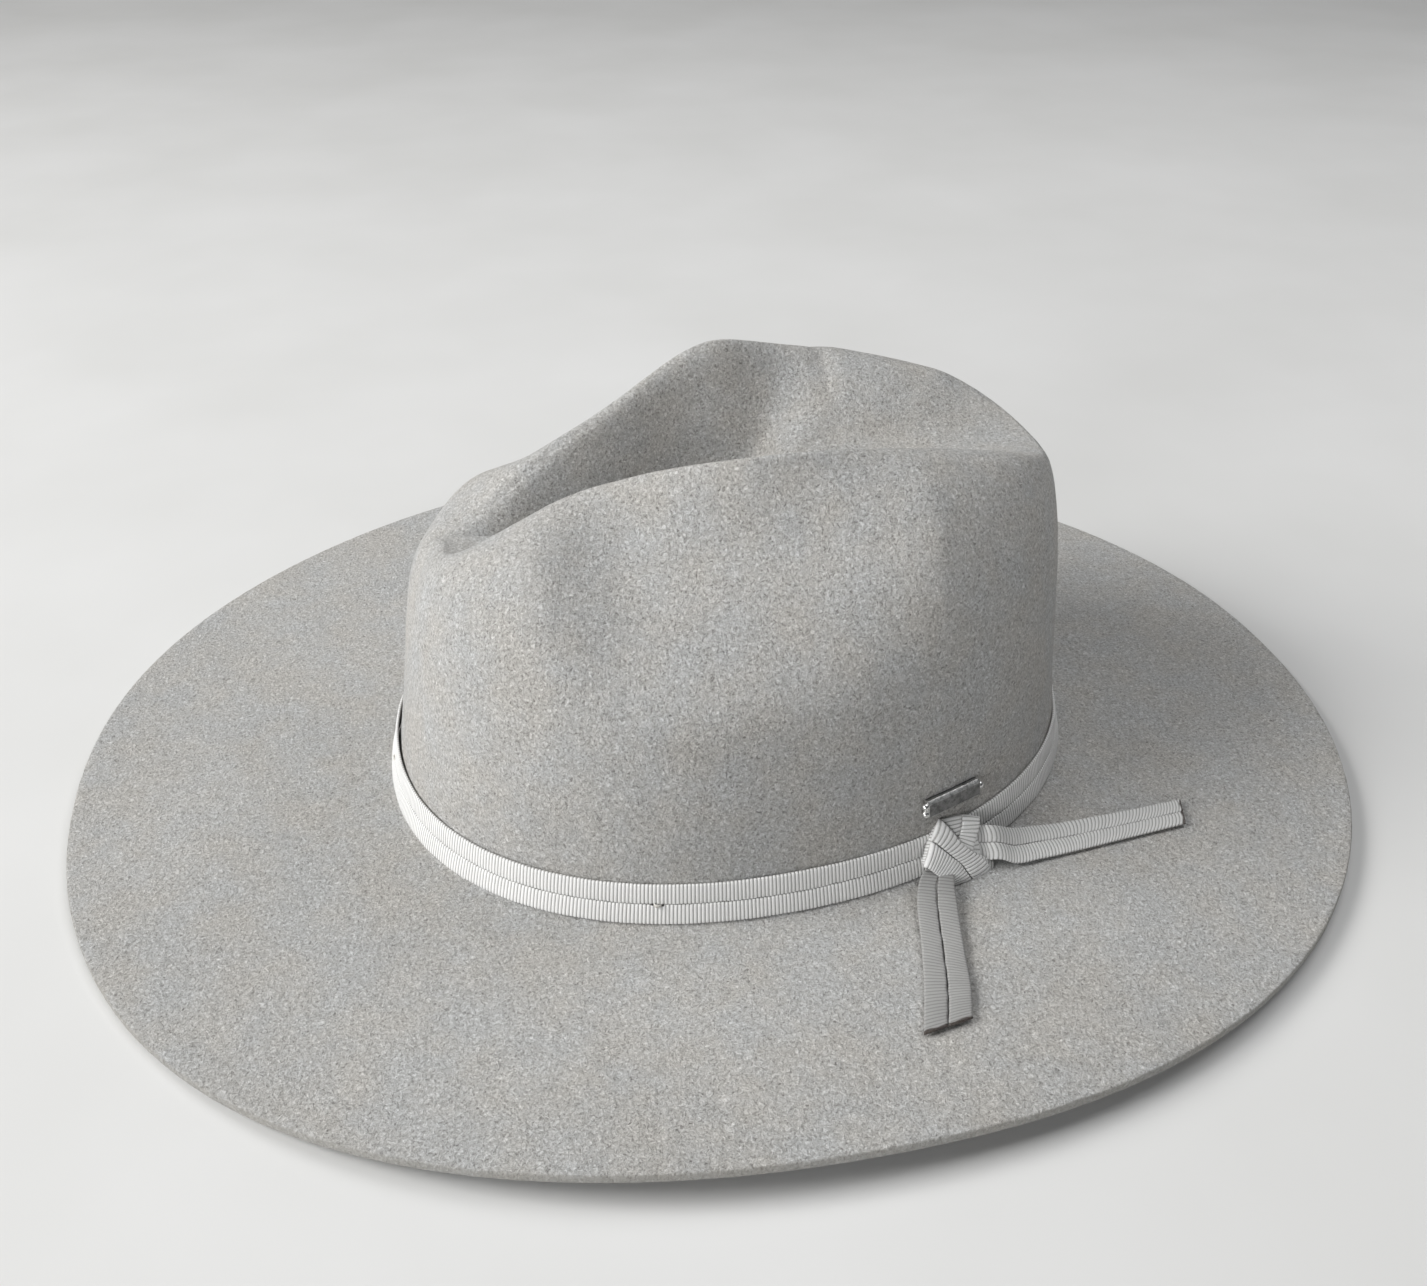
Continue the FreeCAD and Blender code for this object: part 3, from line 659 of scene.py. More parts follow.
def ribbon_material(name, base_col, painted_shade_col, dark=(0.045, 0.032, 0.025), sheen=0.12, shine=0.62):
    """grosgrain: U counts ribs, V is millimetres across"""
    g = Nodes(name)
    uv = g.sep(g.co.outputs["UV"])
    u, v = uv[0], uv[1]
    fr = g.math("FRACT", u)
    val = g.math("MULTIPLY", g.math("ABSOLUTE", g.math("SUBTRACT", fr, 0.5)), 2.0)     # 1 in the valley
    valley = g.range(val, 0.52, 1.0, 0.0, 1.0, True)
    crest_highlight = g.range(val, 0.0, 0.6, 1.0, 0.0, True)
    uvv = g.comb(u, v)
    thread = g.noise(1.0, 2, 0.6, g.vmath("MULTIPLY", uvv, (1.6, 7.5, 1.0)))
    weave = g.math("SINE", g.math("ADD", g.math("MULTIPLY", v, 24.0), g.math("MULTIPLY", g.noise(1.0, 1, 0.5, g.vmath("MULTIPLY", uvv, (0.7, 1.3, 1.0))), 5.0)))
    ribvar = g.noise(1.0, 1, 0.5, g.comb(g.math("MULTIPLY", g.math("FLOOR", u), 0.73), 0.0, 0.0))
    blotch = g.noise(90, 3, 0.55)
    k = g.math("ADD", g.math("MULTIPLY", g.math("SUBTRACT", thread, 0.5), 0.34), g.math("MULTIPLY", weave, 0.028))
    k = g.math("ADD", k, g.math("MULTIPLY", g.math("SUBTRACT", ribvar, 0.5), 0.16))
    k = g.math("ADD", k, g.math("MULTIPLY", g.math("SUBTRACT", blotch, 0.5), 0.14))
    # painted highlight: the rib crests are made a little lighter
    k = g.math("ADD", k, g.math("MULTIPLY", crest_highlight, 0.05))
    k = g.math("ADD", k, 0.98)
    # painted shade: the valleys between the ribs are darkened towards the shade colour
    col = g.mix(g.math("MULTIPLY", valley, g.range(thread, 0.3, 0.7, 0.95, 0.7)), base_col, painted_shade_col)
    col = g.vmath("MULTIPLY", col, g.comb(k, k, k))
    # painted shade: the selvedges and the ribbon's underside are darkened with the same shade colour
    sel = g.range(g.attr("selvedge"), 0.94, 1.0, 0.0, 0.38)
    col = g.mix(sel, col, painted_shade_col)
    cut = g.math("MULTIPLY", g.attr("cut_end"), g.range(g.noise(2200, 2, 0.6), 0.3, 0.62, 0.75, 1.0), clamp=True)
    col = g.mix(cut, col, dark)
    g.put("Base Color", col)
    g.put("Roughness", g.range(thread, 0.3, 0.7, shine - 0.08, shine + 0.16))
    h = g.math("ADD", g.math("MULTIPLY", thread, 0.5), g.math("MULTIPLY", weave, 0.10))
    h = g.math("SUBTRACT", h, g.math("MULTIPLY", valley, 0.35))
    g.put("Normal", g.bump(h, 0.00012, 0.8))
    g.set(Specular_IOR_Level=0.4, Sheen_Weight=sheen, Sheen_Roughness=0.45)
    return g.m


def thread_material(name, col, dk, scale=1.0):
    g = Nodes(name)
    n = g.noise(2300 * scale, 3, 0.6)
    w = g.noise(5200 * scale, 2, 0.5)
    c = g.ramp(g.math("ADD", g.math("MULTIPLY", n, 0.6), g.math("MULTIPLY", w, 0.4)), [(0.36, dk), (0.62, col)])
    g.put("Base Color", c)
    g.put("Roughness", g.range(n, 0.3, 0.7, 0.7, 0.9))
    g.put("Normal", g.bump(w, 0.00008, 0.7))
    g.set(Sheen_Weight=0.15, Sheen_Roughness=0.5, Specular_IOR_Level=0.35)
    return g.m


def metal_material(name, col, dk, rough, wear_and_highlight=None):
    g = Nodes(name)
    co = g.vmath("MULTIPLY", g.co.outputs["Object"], (1.0, 1.0, 1.0))
    brush = g.noise(3000, 3, 0.6, g.vmath("MULTIPLY", co, (1.0, 0.25, 2.0)))
    spots = g.noise(700, 4, 0.7)
    c = g.ramp(g.math("ADD", g.math("MULTIPLY", brush, 0.5), g.math("MULTIPLY", spots, 0.5)), [(0.36, dk), (0.62, col)])
    # lighter metal on the marked faces: partly wear on the raised edges, partly painted highlight along the bevels
    if wear_and_highlight is not None:
        e = g.attr("wear_and_highlight")
        c = g.mix(g.math("MULTIPLY", e, g.range(spots, 0.34, 0.58, 0.35, 1.0)), c, wear_and_highlight)
    g.put("Base Color", c)
    g.put("Roughness", g.range(brush, 0.3, 0.7, rough - 0.07, rough + 0.12))
    g.put("Normal", g.bump(g.math("ADD", brush, g.math("MULTIPLY", spots, 0.6)), 0.00004, 0.5))
    g.set(Metallic=1.0)
    return g.m


def leather_material():
    g = Nodes("sweatband_leather")
    co = g.co.outputs["Object"]
    warp = g.vmath("MULTIPLY", g.vmath("SUBTRACT", g.noise(120, 2, 0.5, color=True), (0.5, 0.5, 0.5)), (0.004, 0.004, 0.004))
    wc = g.vmath("ADD", co, warp)
    cell = g.voronoi(760, wc, "DISTANCE_TO_EDGE")
    cell2 = g.voronoi(1700, wc, "F1")
    pores = g.noise(1300, 3, 0.6)
    wrinkle = g.noise(70, 4, 0.6, g.vmath("MULTIPLY", wc, (1.0, 1.0, 3.5)))
    patch = g.noise(18, 3, 0.5)
    c = g.ramp(g.math("ADD", g.math("MULTIPLY", patch, 0.55), g.math("MULTIPLY", wrinkle, 0.45)), [
        (0.36, (0.155, 0.088, 0.048)), (0.5, (0.235, 0.142, 0.082)), (0.64, (0.315, 0.202, 0.125))])
    crease = g.range(cell, 0.0, 0.10, 1.0, 0.0, True)
    c = g.mix(g.math("MULTIPLY", crease, 0.45), c, (0.085, 0.045, 0.025))
    top = g.range(g.attr("rim"), 0.0, 1.0, 0.0, 0.6)
    c = g.mix(g.math("MULTIPLY", top, g.range(pores, 0.35, 0.65, 0.4, 1.0)), c, (0.40, 0.28, 0.18))
    g.put("Base Color", c)
    g.put("Roughness", g.range(pores, 0.3, 0.7, 0.42, 0.62))
    h = g.math("ADD", g.range(cell, 0.0, 0.16, 0.0, 1.0), g.math("MULTIPLY", cell2, 0.35))
    h = g.math("ADD", h, g.math("MULTIPLY", wrinkle, 1.6))
    g.put("Normal", g.bump(h, 0.00012, 0.6))
    g.set(Specular_IOR_Level=0.45)
    return g.m


def satin_material(name, lite, mid, dk):
    g = Nodes(name)
    co = g.co.outputs["Object"]
    sep = g.sep(co)
    ang = g.math("ARCTAN2", sep[1], sep[0])
    polar = g.comb(g.math("MULTIPLY", ang, 90.0), g.math("MULTIPLY", sep[2], 240.0), 0.0)
    slub = g.noise(1.0, 3, 0.6, polar)
    fine = g.noise(2800, 2, 0.5, g.vmath("MULTIPLY", co, (1.0, 1.0, 0.22)))
    patch = g.noise(30, 3, 0.5)
    twill = g.noise(1500, 2, 0.5)
    v = g.math("ADD", g.math("MULTIPLY", slub, 0.35), g.math("ADD", g.math("MULTIPLY", fine, 0.35), g.math("MULTIPLY", patch, 0.3)))
    c = g.ramp(v, [(0.36, dk), (0.5, mid), (0.64, lite)])
    g.put("Base Color", c)
    g.put("Roughness", g.range(fine, 0.3, 0.7, 0.28, 0.45))
    g.put("Normal", g.bump(g.math("ADD", fine, g.math("MULTIPLY", twill, 0.6)), 0.00006, 0.6))
    g.set(Sheen_Weight=0.25, Sheen_Roughness=0.35, Specular_IOR_Level=0.55, Anisotropic=0.4)
    return g.m


def plastic_material(name, col, dk):
    g = Nodes(name)
    n = g.noise(400, 3, 0.6)
    s = g.noise(2400, 2, 0.5)
    g.put("Base Color", g.ramp(g.math("ADD", g.math("MULTIPLY", n, 0.6), g.math("MULTIPLY", s, 0.4)), [(0.38, dk), (0.6, col)]))
    g.put("Roughness", g.range(n, 0.3, 0.7, 0.35, 0.5))
    g.put("Normal", g.bump(s, 0.00005, 0.4))
    return g.m


def weave_material(name, col, dk):
    """plain woven tape"""
    g = Nodes(name)
    co = g.co.outputs["Object"]
    sep = g.sep(co)
    ang = g.math("MULTIPLY", g.math("ARCTAN2", sep[1], sep[0]), 1250.0)
    zz = g.math("MULTIPLY", sep[2], 12500.0)
    a, b = g.math("SINE", ang), g.math("SINE", zz)
    chk = g.math("MULTIPLY", a, b)
    n = g.noise(1800, 3, 0.6)
    v = g.math("ADD", g.math("MULTIPLY", chk, 0.12), n)
    g.put("Base Color", g.ramp(v, [(0.34, dk), (0.62, col)]))
    g.put("Roughness", g.range(n, 0.3, 0.7, 0.8, 0.95))
    g.put("Normal", g.bump(v, 0.00012, 0.6))
    g.set(Sheen_Weight=0.1)
    return g.m


FELT = felt_material()
RIBBON = ribbon_material("ribbon", (0.90, 0.90, 0.89), (0.27, 0.265, 0.25))
# darker copies of the band ribbon for the two free ends: painted shade, much darker on the front end than on the back
# end
RIBBON_FRONT_TAIL_SHADED = ribbon_material("ribbon_end", (0.38, 0.378, 0.372), (0.22, 0.215, 0.204))
RIBBON_BACK_TAIL_SHADED = ribbon_material("ribbon_back_tail_shaded", (0.70, 0.70, 0.692), (0.23, 0.226, 0.213))
BOW = ribbon_material("bow_ribbon", (0.165, 0.105, 0.07), (0.055, 0.034, 0.022), dark=(0.03, 0.02, 0.015))
THREAD = thread_material("thread", (0.80, 0.79, 0.75), (0.52, 0.50, 0.46))
# near-black thread colour for the discs at the tack holes: painted shade
TACK_HOLE_SHADE = thread_material("tack_hole_painted_shade", (0.05, 0.045, 0.04), (0.02, 0.018, 0.016))
STITCH = thread_material("sweatband_thread", (0.62, 0.55, 0.45), (0.36, 0.30, 0.23))
PIN = metal_material("pin_metal", (0.060, 0.062, 0.067), (0.035, 0.036, 0.039), 0.34, wear_and_highlight=(0.66, 0.66, 0.65))
BRIGHT = metal_material("pin_bright_metal", (0.92, 0.92, 0.91), (0.74, 0.74, 0.73), 0.24)
LEATHER = leather_material()
SATIN = satin_material("satin", (0.56, 0.515, 0.44), (0.485, 0.44, 0.37), (0.40, 0.36, 0.295))
PIPING = satin_material("satin_piping", (0.30, 0.205, 0.135), (0.23, 0.15, 0.095), (0.16, 0.10, 0.06))
REED = plastic_material("reed_plastic", (0.72, 0.69, 0.61), (0.58, 0.55, 0.47))
TAPE = weave_material("tape", (0.60, 0.56, 0.48), (0.40, 0.365, 0.30))

# ============================================================ felt body
NT = 640
K_FOOT = N_BRIM
K_WALL = N_BRIM + N_FOOT
K_CREST = K_WALL + N_WALL
G0 = surface(NT)
NV = G0.shape[1]
G0 = relax(G0, K_WALL + 30, NV - 1, 14)


def fold_far(G):
    """a soft vertical fold in the far side of the teardrop dent"""
    G = G.copy()
    x, y, z = G[..., 0], G[..., 1], G[..., 2]
    along = np.exp(-((y - 38.5) / 3.2) ** 2)
    w = np.clip((z - 92) / 14, 0, 1) * np.clip((-x - 14) / 14, 0, 1) * np.clip((44 - np.abs(x)) / 6, 0, 1)
    d = 0.8 * along * w
    G[..., 2] -= d
    G[..., 0] -= 0.5 * d
    return G


G0 = fold_far(G0)
NRM0 = ring_normals(G0)


def wobble(P, seed=0.0):
    """hand-made unevenness of the felt, in mm"""
    out = np.zeros(P.shape[:2])
    for i in range(P.shape[0]):
        row = P[i]
        for k in range(P.shape[1]):
            x, y, z = row[k]
            out[i, k] = (0.34 * noise.noise(Vector((x / 34 + seed, y / 34, z / 34)))
                         + 0.10 * noise.noise(Vector((x / 9 + seed, y / 9, z / 9)))
                         + 0.035 * noise.noise(Vector((x / 2.6, y / 2.6 + seed, z / 2.6))))
    return out


WOB = wobble(G0)
fade = np.ones(NV)
fade[:3] = (0.0, 0.4, 0.7)
G1 = G0 + NRM0 * (WOB * fade)[..., None]
IN_ROWS = sorted(set(list(range(0, N_BRIM, 2)) + list(range(K_FOOT, NV - 1, 2)) + [NV - 1]))
GI = relax(G0 - NRM0 * FELT_T, K_WALL + 30, NV - 1, 4)
GI = GI + NRM0 * (0.5 * WOB * fade)[..., None]
out_dir = G0[:, 0] - G0[:, 1]
out_dir[:, 2] = 0
out_dir /= np.linalg.norm(out_dir, axis=1, keepdims=True)
n0 = NRM0[:, 0]
e0 = G0[:, 0]
nz = np.array([0.10 * noise.noise(Vector((math.cos(2 * math.pi * i / NT) * 55, math.sin(2 * math.pi * i / NT) * 55, 3.1))) for i in range(NT)])[:, None]
rings = [GI[:, k] for k in reversed(IN_ROWS[1:-1])]
edges = [np.zeros(NT)] * len(rings)
rings += [e0 - n0 * 2.40 - out_dir * 0.40, e0 - n0 * 2.30 - out_dir * 0.12 + out_dir * nz, e0 - n0 * 2.02 + out_dir * nz, e0 - n0 * 1.2 + out_dir * (nz * 1.4 + 0.02),
          e0 - n0 * 0.38 + out_dir * nz, e0 - n0 * 0.10 - out_dir * 0.12 + out_dir * nz, e0 - out_dir * 0.40]
edges += [np.full(NT, v) for v in (0.15, 0.7, 1.0, 1.0, 1.0, 0.75, 0.12)]
rings += [G1[:, k] for k in range(1, NV - 1)]
edges += [np.full(NT, 0.0)] * (NV - 2)
V = np.concatenate(rings)
E = np.concatenate(edges)
nr = len(rings)
F = ring_grid_faces(NT, nr)
V = np.vstack([V, GI[:, -1].mean(0), G1[:, -1].mean(0)])
E = np.append(E, [0, 0])
lo_pole, hi_pole = nr * NT, nr * NT + 1
for i in range(NT):
    j = (i + 1) % NT
    F.append((lo_pole, j, i))
    F.append(((nr - 1) * NT + i, (nr - 1) * NT + j, hi_pole))
felt = mesh("felt_hat_body", V, F, attrs={"felt_edge": E})
put(felt, "hat", "felt", FELT, "felt_body")

# ============================================================ ribbon band
KNOT_TH = None
best = None
for i in range(3600):
    th = 2 * math.pi * i / 3600
    q = base(th)
    d = (q[0] - 79) ** 2 + (q[1] - 47.6) ** 2
    if best is None or d < best[0]:
        best = (d, th)
KNOT_TH = best[1]


def arc_angles(n, th0):
    """n angles round the foot, evenly spaced along it, from th0"""
    m = 7200
    pts = np.array([base(th0 + 2 * math.pi * i / m, 0.8, 5) for i in range(m + 1)])
    cum = np.concatenate([[0], np.cumsum(np.linalg.norm(np.diff(pts, axis=0), axis=1))])
    s = np.linspace(0, cum[-1], n + 1)[:-1]
    return th0 + 2 * math.pi * np.interp(s, cum, np.arange(m + 1)) / m, cum[-1]


_, BAND_LEN = arc_angles(10, KNOT_TH)
N_RIBS = int(round(BAND_LEN / RIB))
ths, _ = arc_angles(N_RIBS * 8, KNOT_TH)


def band_line(zr, extra=0.0):
    out = []
    for th in ths:
        f = (zr - 0.85) / 11.35
        front = 0.50 * max(0.0, math.cos(th + math.pi * 0.62)) ** 2      # stands off a little at the front
        w = 0.10 * math.sin(th * 7 + 1) + 0.07 * math.sin(th * 17 + 2)
        o = BAND_GAP - wall_in(th, zr) + 0.45 * (1 - f) + (front + w * 0.5) * f + extra
        out.append(base(th, o, zr + w * (0.6 if f > 0.5 else 0.3) * (1 if f > 0.5 else -1)))
    return np.array(out)


outward = np.array([(math.cos(t), math.sin(t), 0.15) for t in ths])
band = ribbon("hat_band_ribbon", band_line(0.80), band_line(12.25), outward, M=band_line(6.45), closed=True, thick=0.88, gap=0.13,
              shift_half=0.5, crown=0.30, rib=0.15)
put(band, "hat", "ribbon", RIBBON, "hatband")

# ============================================================ tack stitches
tv, tf = [], []
hv, hf = [], []
for deg in (-19.9, 205, 270, 118):
    th = math.radians(deg)
    R = 88.0
    zc = 6.6
    o0 = BAND_GAP - wall_in(th, zc) + 0.25 + 0.86
    pts = []
    for q in np.linspace(-1, 1, 9):
        hgt = 0.50 * (1 - q * q) - 0.34 * (abs(q) > 0.9)
        pts.append(base(th + q * 0.85 / R, o0 + hgt - 0.02, zc - 0.12 * q))
    for dz in (0.16, -0.16):
        v, f = line_tube([(p[0], p[1], p[2] + 1.6 * dz * (1 - abs(k / 4 - 1) ** 2)) for k, p in enumerate(pts)], 0.27, 8, start=len(tv), lobes=2, lobe=0.10, twist=6.0)
        tv += v
        tf += f
    for sg in (-1, 1):                         # dark dished discs at the small holes that the thread goes through: painted shade in the holes
        c0 = np.array(base(th + sg * 1.15 / R, o0 - 0.02, zc - 0.12 * sg))
        nn = np.array([math.cos(th), math.sin(th), 0.2]); nn /= np.linalg.norm(nn)
        ta = np.cross(nn, (0, 0, 1.0)); ta /= np.linalg.norm(ta)
        tb = np.cross(nn, ta)
        b0 = len(hv)
        for r_, d_ in ((0.42, -0.10), (0.36, 0.05), (0.18, 0.09)):
            for q in range(12):
                w = 2 * math.pi * q / 12
                hv.append(c0 + nn * d_ + (ta * math.cos(w) * 1.15 + tb * math.sin(w) * 0.8) * r_)
        for k in range(2):
            for q in range(12):
                q2 = (q + 1) % 12
                hf.append((b0 + k * 12 + q, b0 + k * 12 + q2, b0 + (k + 1) * 12 + q2, b0 + (k + 1) * 12 + q))
        hf.append(tuple(b0 + q for q in reversed(range(12))))
        hf.append(tuple(b0 + 24 + q for q in range(12)))
tack = mesh("band_tack_stitches", tv, tf)
tack_hole_shades = mesh("band_tack_hole_shades", hv, hf)
fix_normals(tack_hole_shades)
put(tack_hole_shades, "hat", "thread", TACK_HOLE_SHADE)
fix_normals(tack)
put(tack, "hat", "thread", THREAD, "band_tacks")

# ============================================================ knot
KD = np.array([-6.9, 18.1, 0]); KD /= np.linalg.norm(KD)
KH = np.array([18.1, 6.9, 0]); KH /= np.linalg.norm(KH)
LEAN = math.radians(33)
KF = np.array([KH[0] * math.cos(LEAN), KH[1] * math.cos(LEAN), math.sin(LEAN)])
KFU = np.cross(KD, KF)
KFU *= np.sign(KFU[2])
C2 = np.array([82.55, 46.08, 11.15])


def K(T, U, o):
    """a point that stands o proud of the knot's face and lies over (T, U) of the face as seen from the front left"""
    return C2 + KD * (T - 0.67 * o) + KFU * (U + 0.31 * o) + KF * o


def KK(rows):
    return np.array([K(*r) for r in rows])


knot_parts = []
# core that the straps wrap
core_out = [(-10.6, -0.6), (-9.4, 2.6), (-6.2, 6.0), (-2.8, 8.4), (1.4, 8.2), (7.6, 4.6), (8.0, -1.8), (6.6, -8.6), (0.6, -8.2), (-5.2, -6.2)]
co3 = np.array([(a, b, 0.0) for a, b in core_out])
closed_pts = np.vstack([co3[-1], co3, co3[0], co3[1]])
m_ = len(co3)
fine = []
for t in np.linspace(0, m_, 80, endpoint=False):
    i = int(t)
    u = t - i
    p0, p1, p2, p3 = closed_pts[i], closed_pts[i + 1], closed_pts[i + 2], closed_pts[(i + 3) if i + 3 < len(closed_pts) else i + 3 - m_]
    fine.append(0.5 * (2 * p1 + (-p0 + p2) * u + (2 * p0 - 5 * p1 + 4 * p2 - p3) * u * u + (-p0 + 3 * p1 - 3 * p2 + p3) * u ** 3))
fine = np.array(fine)
core_rings = []
KC = np.array([79.0, 47.6, 9.2])
KN = np.array([18.1, 6.9, 4.6]); KN /= np.linalg.norm(KN)
for f_, dep in ((0.35, -0.15), (0.75, -0.25), (0.93, -0.7), (0.99, -1.5), (1.0, -2.6)):
    core_rings.append(C2 + np.outer(fine[:, 0] * f_, KD) + np.outer(fine[:, 1] * f_, KFU) + KF * dep)
last = core_rings[-1]
bk = last - KH * (((last - KC) @ KN - 0.45) / (KH @ KN))[:, None]
for f_ in (0.35, 0.7, 1.0):
    core_rings.append(last + (bk - last) * f_)
cv = np.vstack(core_rings)
cf = ring_grid_faces(80, len(core_rings))
cf.append(tuple(range(80)))
cf.append(tuple(reversed(range((len(core_rings) - 1) * 80, len(core_rings) * 80))))
core_uv = np.concatenate([np.stack([np.arange(80) * 0.6, np.full(80, k * 1.5)], 1) for k in range(len(core_rings))])
core = mesh("knot_core", cv, cf, uv=core_uv, attrs={"cut_end": np.zeros(len(cv)), "selvedge": np.zeros(len(cv))})
fix_normals(core)
core.data.materials.append(RIBBON)
knot_parts.append(core)


def strap(name, A, B, M, **kw):
    o = ribbon(name, KK(A), KK(B), KF, M=KK(M) if M else None, **kw)
    o.data.materials.append(RIBBON)
    knot_parts.append(o)
    return o


# recessed layer behind, upper middle
strap("k3", [(-5.0, 6.2, -2.6), (-3.6, 9.0, -1.5), (-1.5, 7.6, -0.6), (0.9, 2.2, -0.6), (2.0, -0.5, -0.8)],
      [(3.2, 9.6, -3.4), (4.4, 8.0, -2.0), (4.8, 6.4, -0.9), (4.6, 2.4, -0.7), (4.4, -0.8, -0.9)], None, halves=1, thick=0.6, rib=0.10)
# second strap, from the folded top right down under the main strap
strap("k2", [(3.6, 7.6, -3.6), (4.0, 7.5, -1.2), (3.9, 6.6, 0.0), (2.7, 4.5, 0.3), (0.4, 1.8, 0.1), (-2.2, -1.0, -0.4)],
      [(9.6, 4.4, -4.2), (9.9, 4.6, -1.4), (9.3, 4.2, 0.0), (8.4, 2.6, 0.3), (4.6, -1.8, 0.1), (1.6, -5.4, -0.4)], None, halves=1, thick=0.75, rib=0.14)
# dark corner at the lower right
strap("k4", [(5.0, -3.2, -0.4), (7.6, -5.8, -0.5), (9.4, -7.6, -0.9), (9.4, -8.2, -2.6)],
      [(3.4, -8.2, -0.4), (6.0, -9.9, -0.5), (8.0, -10.9, -0.9), (8.0, -11.0, -2.6)], None, halves=1, thick=0.6)
# main strap, wrapped round the left side and the lower right
strap("k1", [(-12.6, -2.2, -4.6), (-12.6, -1.6, -1.8), (-11.9, -1.0, 0.1), (-10.4, -2.6, 0.6), (-9.0, -4.6, 0.55), (-7.4, -6.7, 0.3), (-5.8, -8.0, -0.4), (-4.4, -8.6, -2.4)],
      [(-4.4, 9.6, -4.6), (-3.6, 9.9, -1.8), (-2.5, 9.1, 0.1), (-0.6, 5.0, 0.6), (1.9, 0.0, 0.6), (5.0, -3.7, 0.4), (7.8, -7.8, 0.0), (8.4, -11.0, -2.0)],
      [(-9.0, 4.0, -4.6), (-8.3, 4.2, -1.8), (-7.2, 4.4, 0.2), (-5.3, 2.1, 0.75), (-3.2, -0.9, 0.75), (-0.9, -4.3, 0.55), (0.9, -8.6, 0.1), (1.8, -10.4, -2.2)],
      thick=0.85, rib=0.15, gap=0.22, bow=0.25)
knot = merge("ribbon_knot", knot_parts)
# the underside of the knot is pressed flat where it lies on the brim
felt_o = bpy.data.objects["felt_hat_body"]
felt_tree = BVHTree.FromPolygons([felt_o.matrix_world @ v.co for v in felt_o.data.vertices],
                                 [tuple(p.vertices) for p in felt_o.data.polygons])
for v in knot.data.vertices:
    w = knot.matrix_world @ v.co
    hit = felt_tree.ray_cast(Vector((w.x, w.y, w.z + 0.03)), Vector((0, 0, -1)))[0]
    if hit is not None and hit.z < 0.02 and w.z < hit.z - 0.0002:
        v.co.z += hit.z - 0.0002 - w.z
put(knot, "hat", "ribbon", RIBBON, "knot")

# ============================================================ the two free ends
TAIL_FRONT = ([tuple(K(-10.4, -0.6, -1.0)), (89.2, 33.0, 8.3), (95.4, 30.2, 5.8), (108.8, 26.7, 4.9), (124.3, 22.0, 5.6), (140.0, 16.4, 6.4)],
              [tuple(K(-3.0, -4.6, -1.0)), (90.6, 42.3, 6.2), (99.5, 40.2, 5.2), (115.3, 36.3, 5.0), (127.0, 33.4, 5.7), (137.6, 29.8, 6.3)])
TAIL_BACK = ([tuple(K(5.4, -4.6, -1.6)), tuple(K(8.2, -6.6, -0.4)), tuple(K(12.2, -8.2, 2.2)), (85.3, 63.0, 4.4), (85.0, 70.0, 4.3), (84.4, 78.0, 4.2), (83.4, 88.0, 4.2), (81.9, 101.5, 4.1), (80.3, 116.0, 4.0)],
             [tuple(K(6.6, 3.2, -1.9)), tuple(K(9.6, 3.0, -0.9)), tuple(K(13.1, 1.5, 1.0)), (76.2, 64.0, 9.4), (73.6, 71.0, 6.2), (72.4, 79.5, 4.6), (71.9, 93.0, 4.3), (71.1, 108.0, 4.2), (70.1, 119.5, 4.0)])
tailf = ribbon("ribbon_end_front", TAIL_FRONT[0], TAIL_FRONT[1], (0, 0, 1), cut=(False, True), gap=0.28, rib=0.10, crown=0.34, thick=0.82, seed=0.2)
tailb = ribbon("ribbon_end_back", TAIL_BACK[0], TAIL_BACK[1], (0.6, 0, 1), cut=(False, True), gap=0.10, rib=0.13, crown=0.25, thick=0.80, bow=0.45, seed=0.6)
for t_, n_, j_, body, s_, e_ in ((tailf, "tail_front", 0, "front_tail", (90.2, 38.0, 7.6), (101.0, 34.5, 6.0)),
                                 (tailb, "tail_back", 1, "back_tail", (82.5, 57.0, 8.8), (80.6, 68.0, 6.0))):
    # the tails get the darker ribbon copies: painted shade
    t_.data.materials.append(RIBBON_FRONT_TAIL_SHADED if t_ is tailf else RIBBON_BACK_TAIL_SHADED)
    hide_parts(n_)
    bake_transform(t_)

# ============================================================ metal bar pin
PD = np.array([-6.9, 18.1, 0]); PD /= np.linalg.norm(PD)
PN = np.array([18.1, 6.9, 2.4]); PN /= np.linalg.norm(PN)
PU = np.cross(PD, PN)
PU *= np.sign(PU[2])


def wall_point(px, py, zr):
    best = None
    for i in range(3600):
        th = 2 * math.pi * i / 3600
        q = base(th, -wall_in(th, zr), zr)
        d = (q[0] - px) ** 2 + (q[1] - py) ** 2
        if best is None or d < best[0]:
            best = (d, q)
    return np.array(best[1])


PC0 = wall_point(75.6, 45.4, 20.7)
PIN_LEN, PIN_H, PIN_T = 21.6, 5.3, 2.1


def pp(t, s, o):
    return PC0 + PD * t + PU * s + PN * o


h, o0 = PIN_H / 2, 0.1
sec = [(-h, o0), (-h, o0 + PIN_T - 0.75), (-h + 0.12, o0 + PIN_T - 0.52), (-h + 0.62, o0 + PIN_T - 0.06), (-h + 0.80, o0 + PIN_T),
       (h - 0.95, o0 + PIN_T), (h - 0.80, o0 + PIN_T - 0.03), (h - 0.12, o0 + PIN_T - 0.62), (h, o0 + PIN_T - 0.78), (h, o0)]
sm_c = np.mean(sec, 0)
bar_end = PIN_LEN / 2 - 1.7
tv, tf, ta = [], [], []
stations = [(-bar_end, 0.90), (-bar_end + 0.14, 0.97), (-bar_end + 0.3, 1.0)] + [(t, 1.0) for t in np.linspace(-bar_end + 0.6, bar_end - 0.6, 40)] + [(bar_end - 0.3, 1.0), (bar_end - 0.14, 0.97), (bar_end, 0.90)]
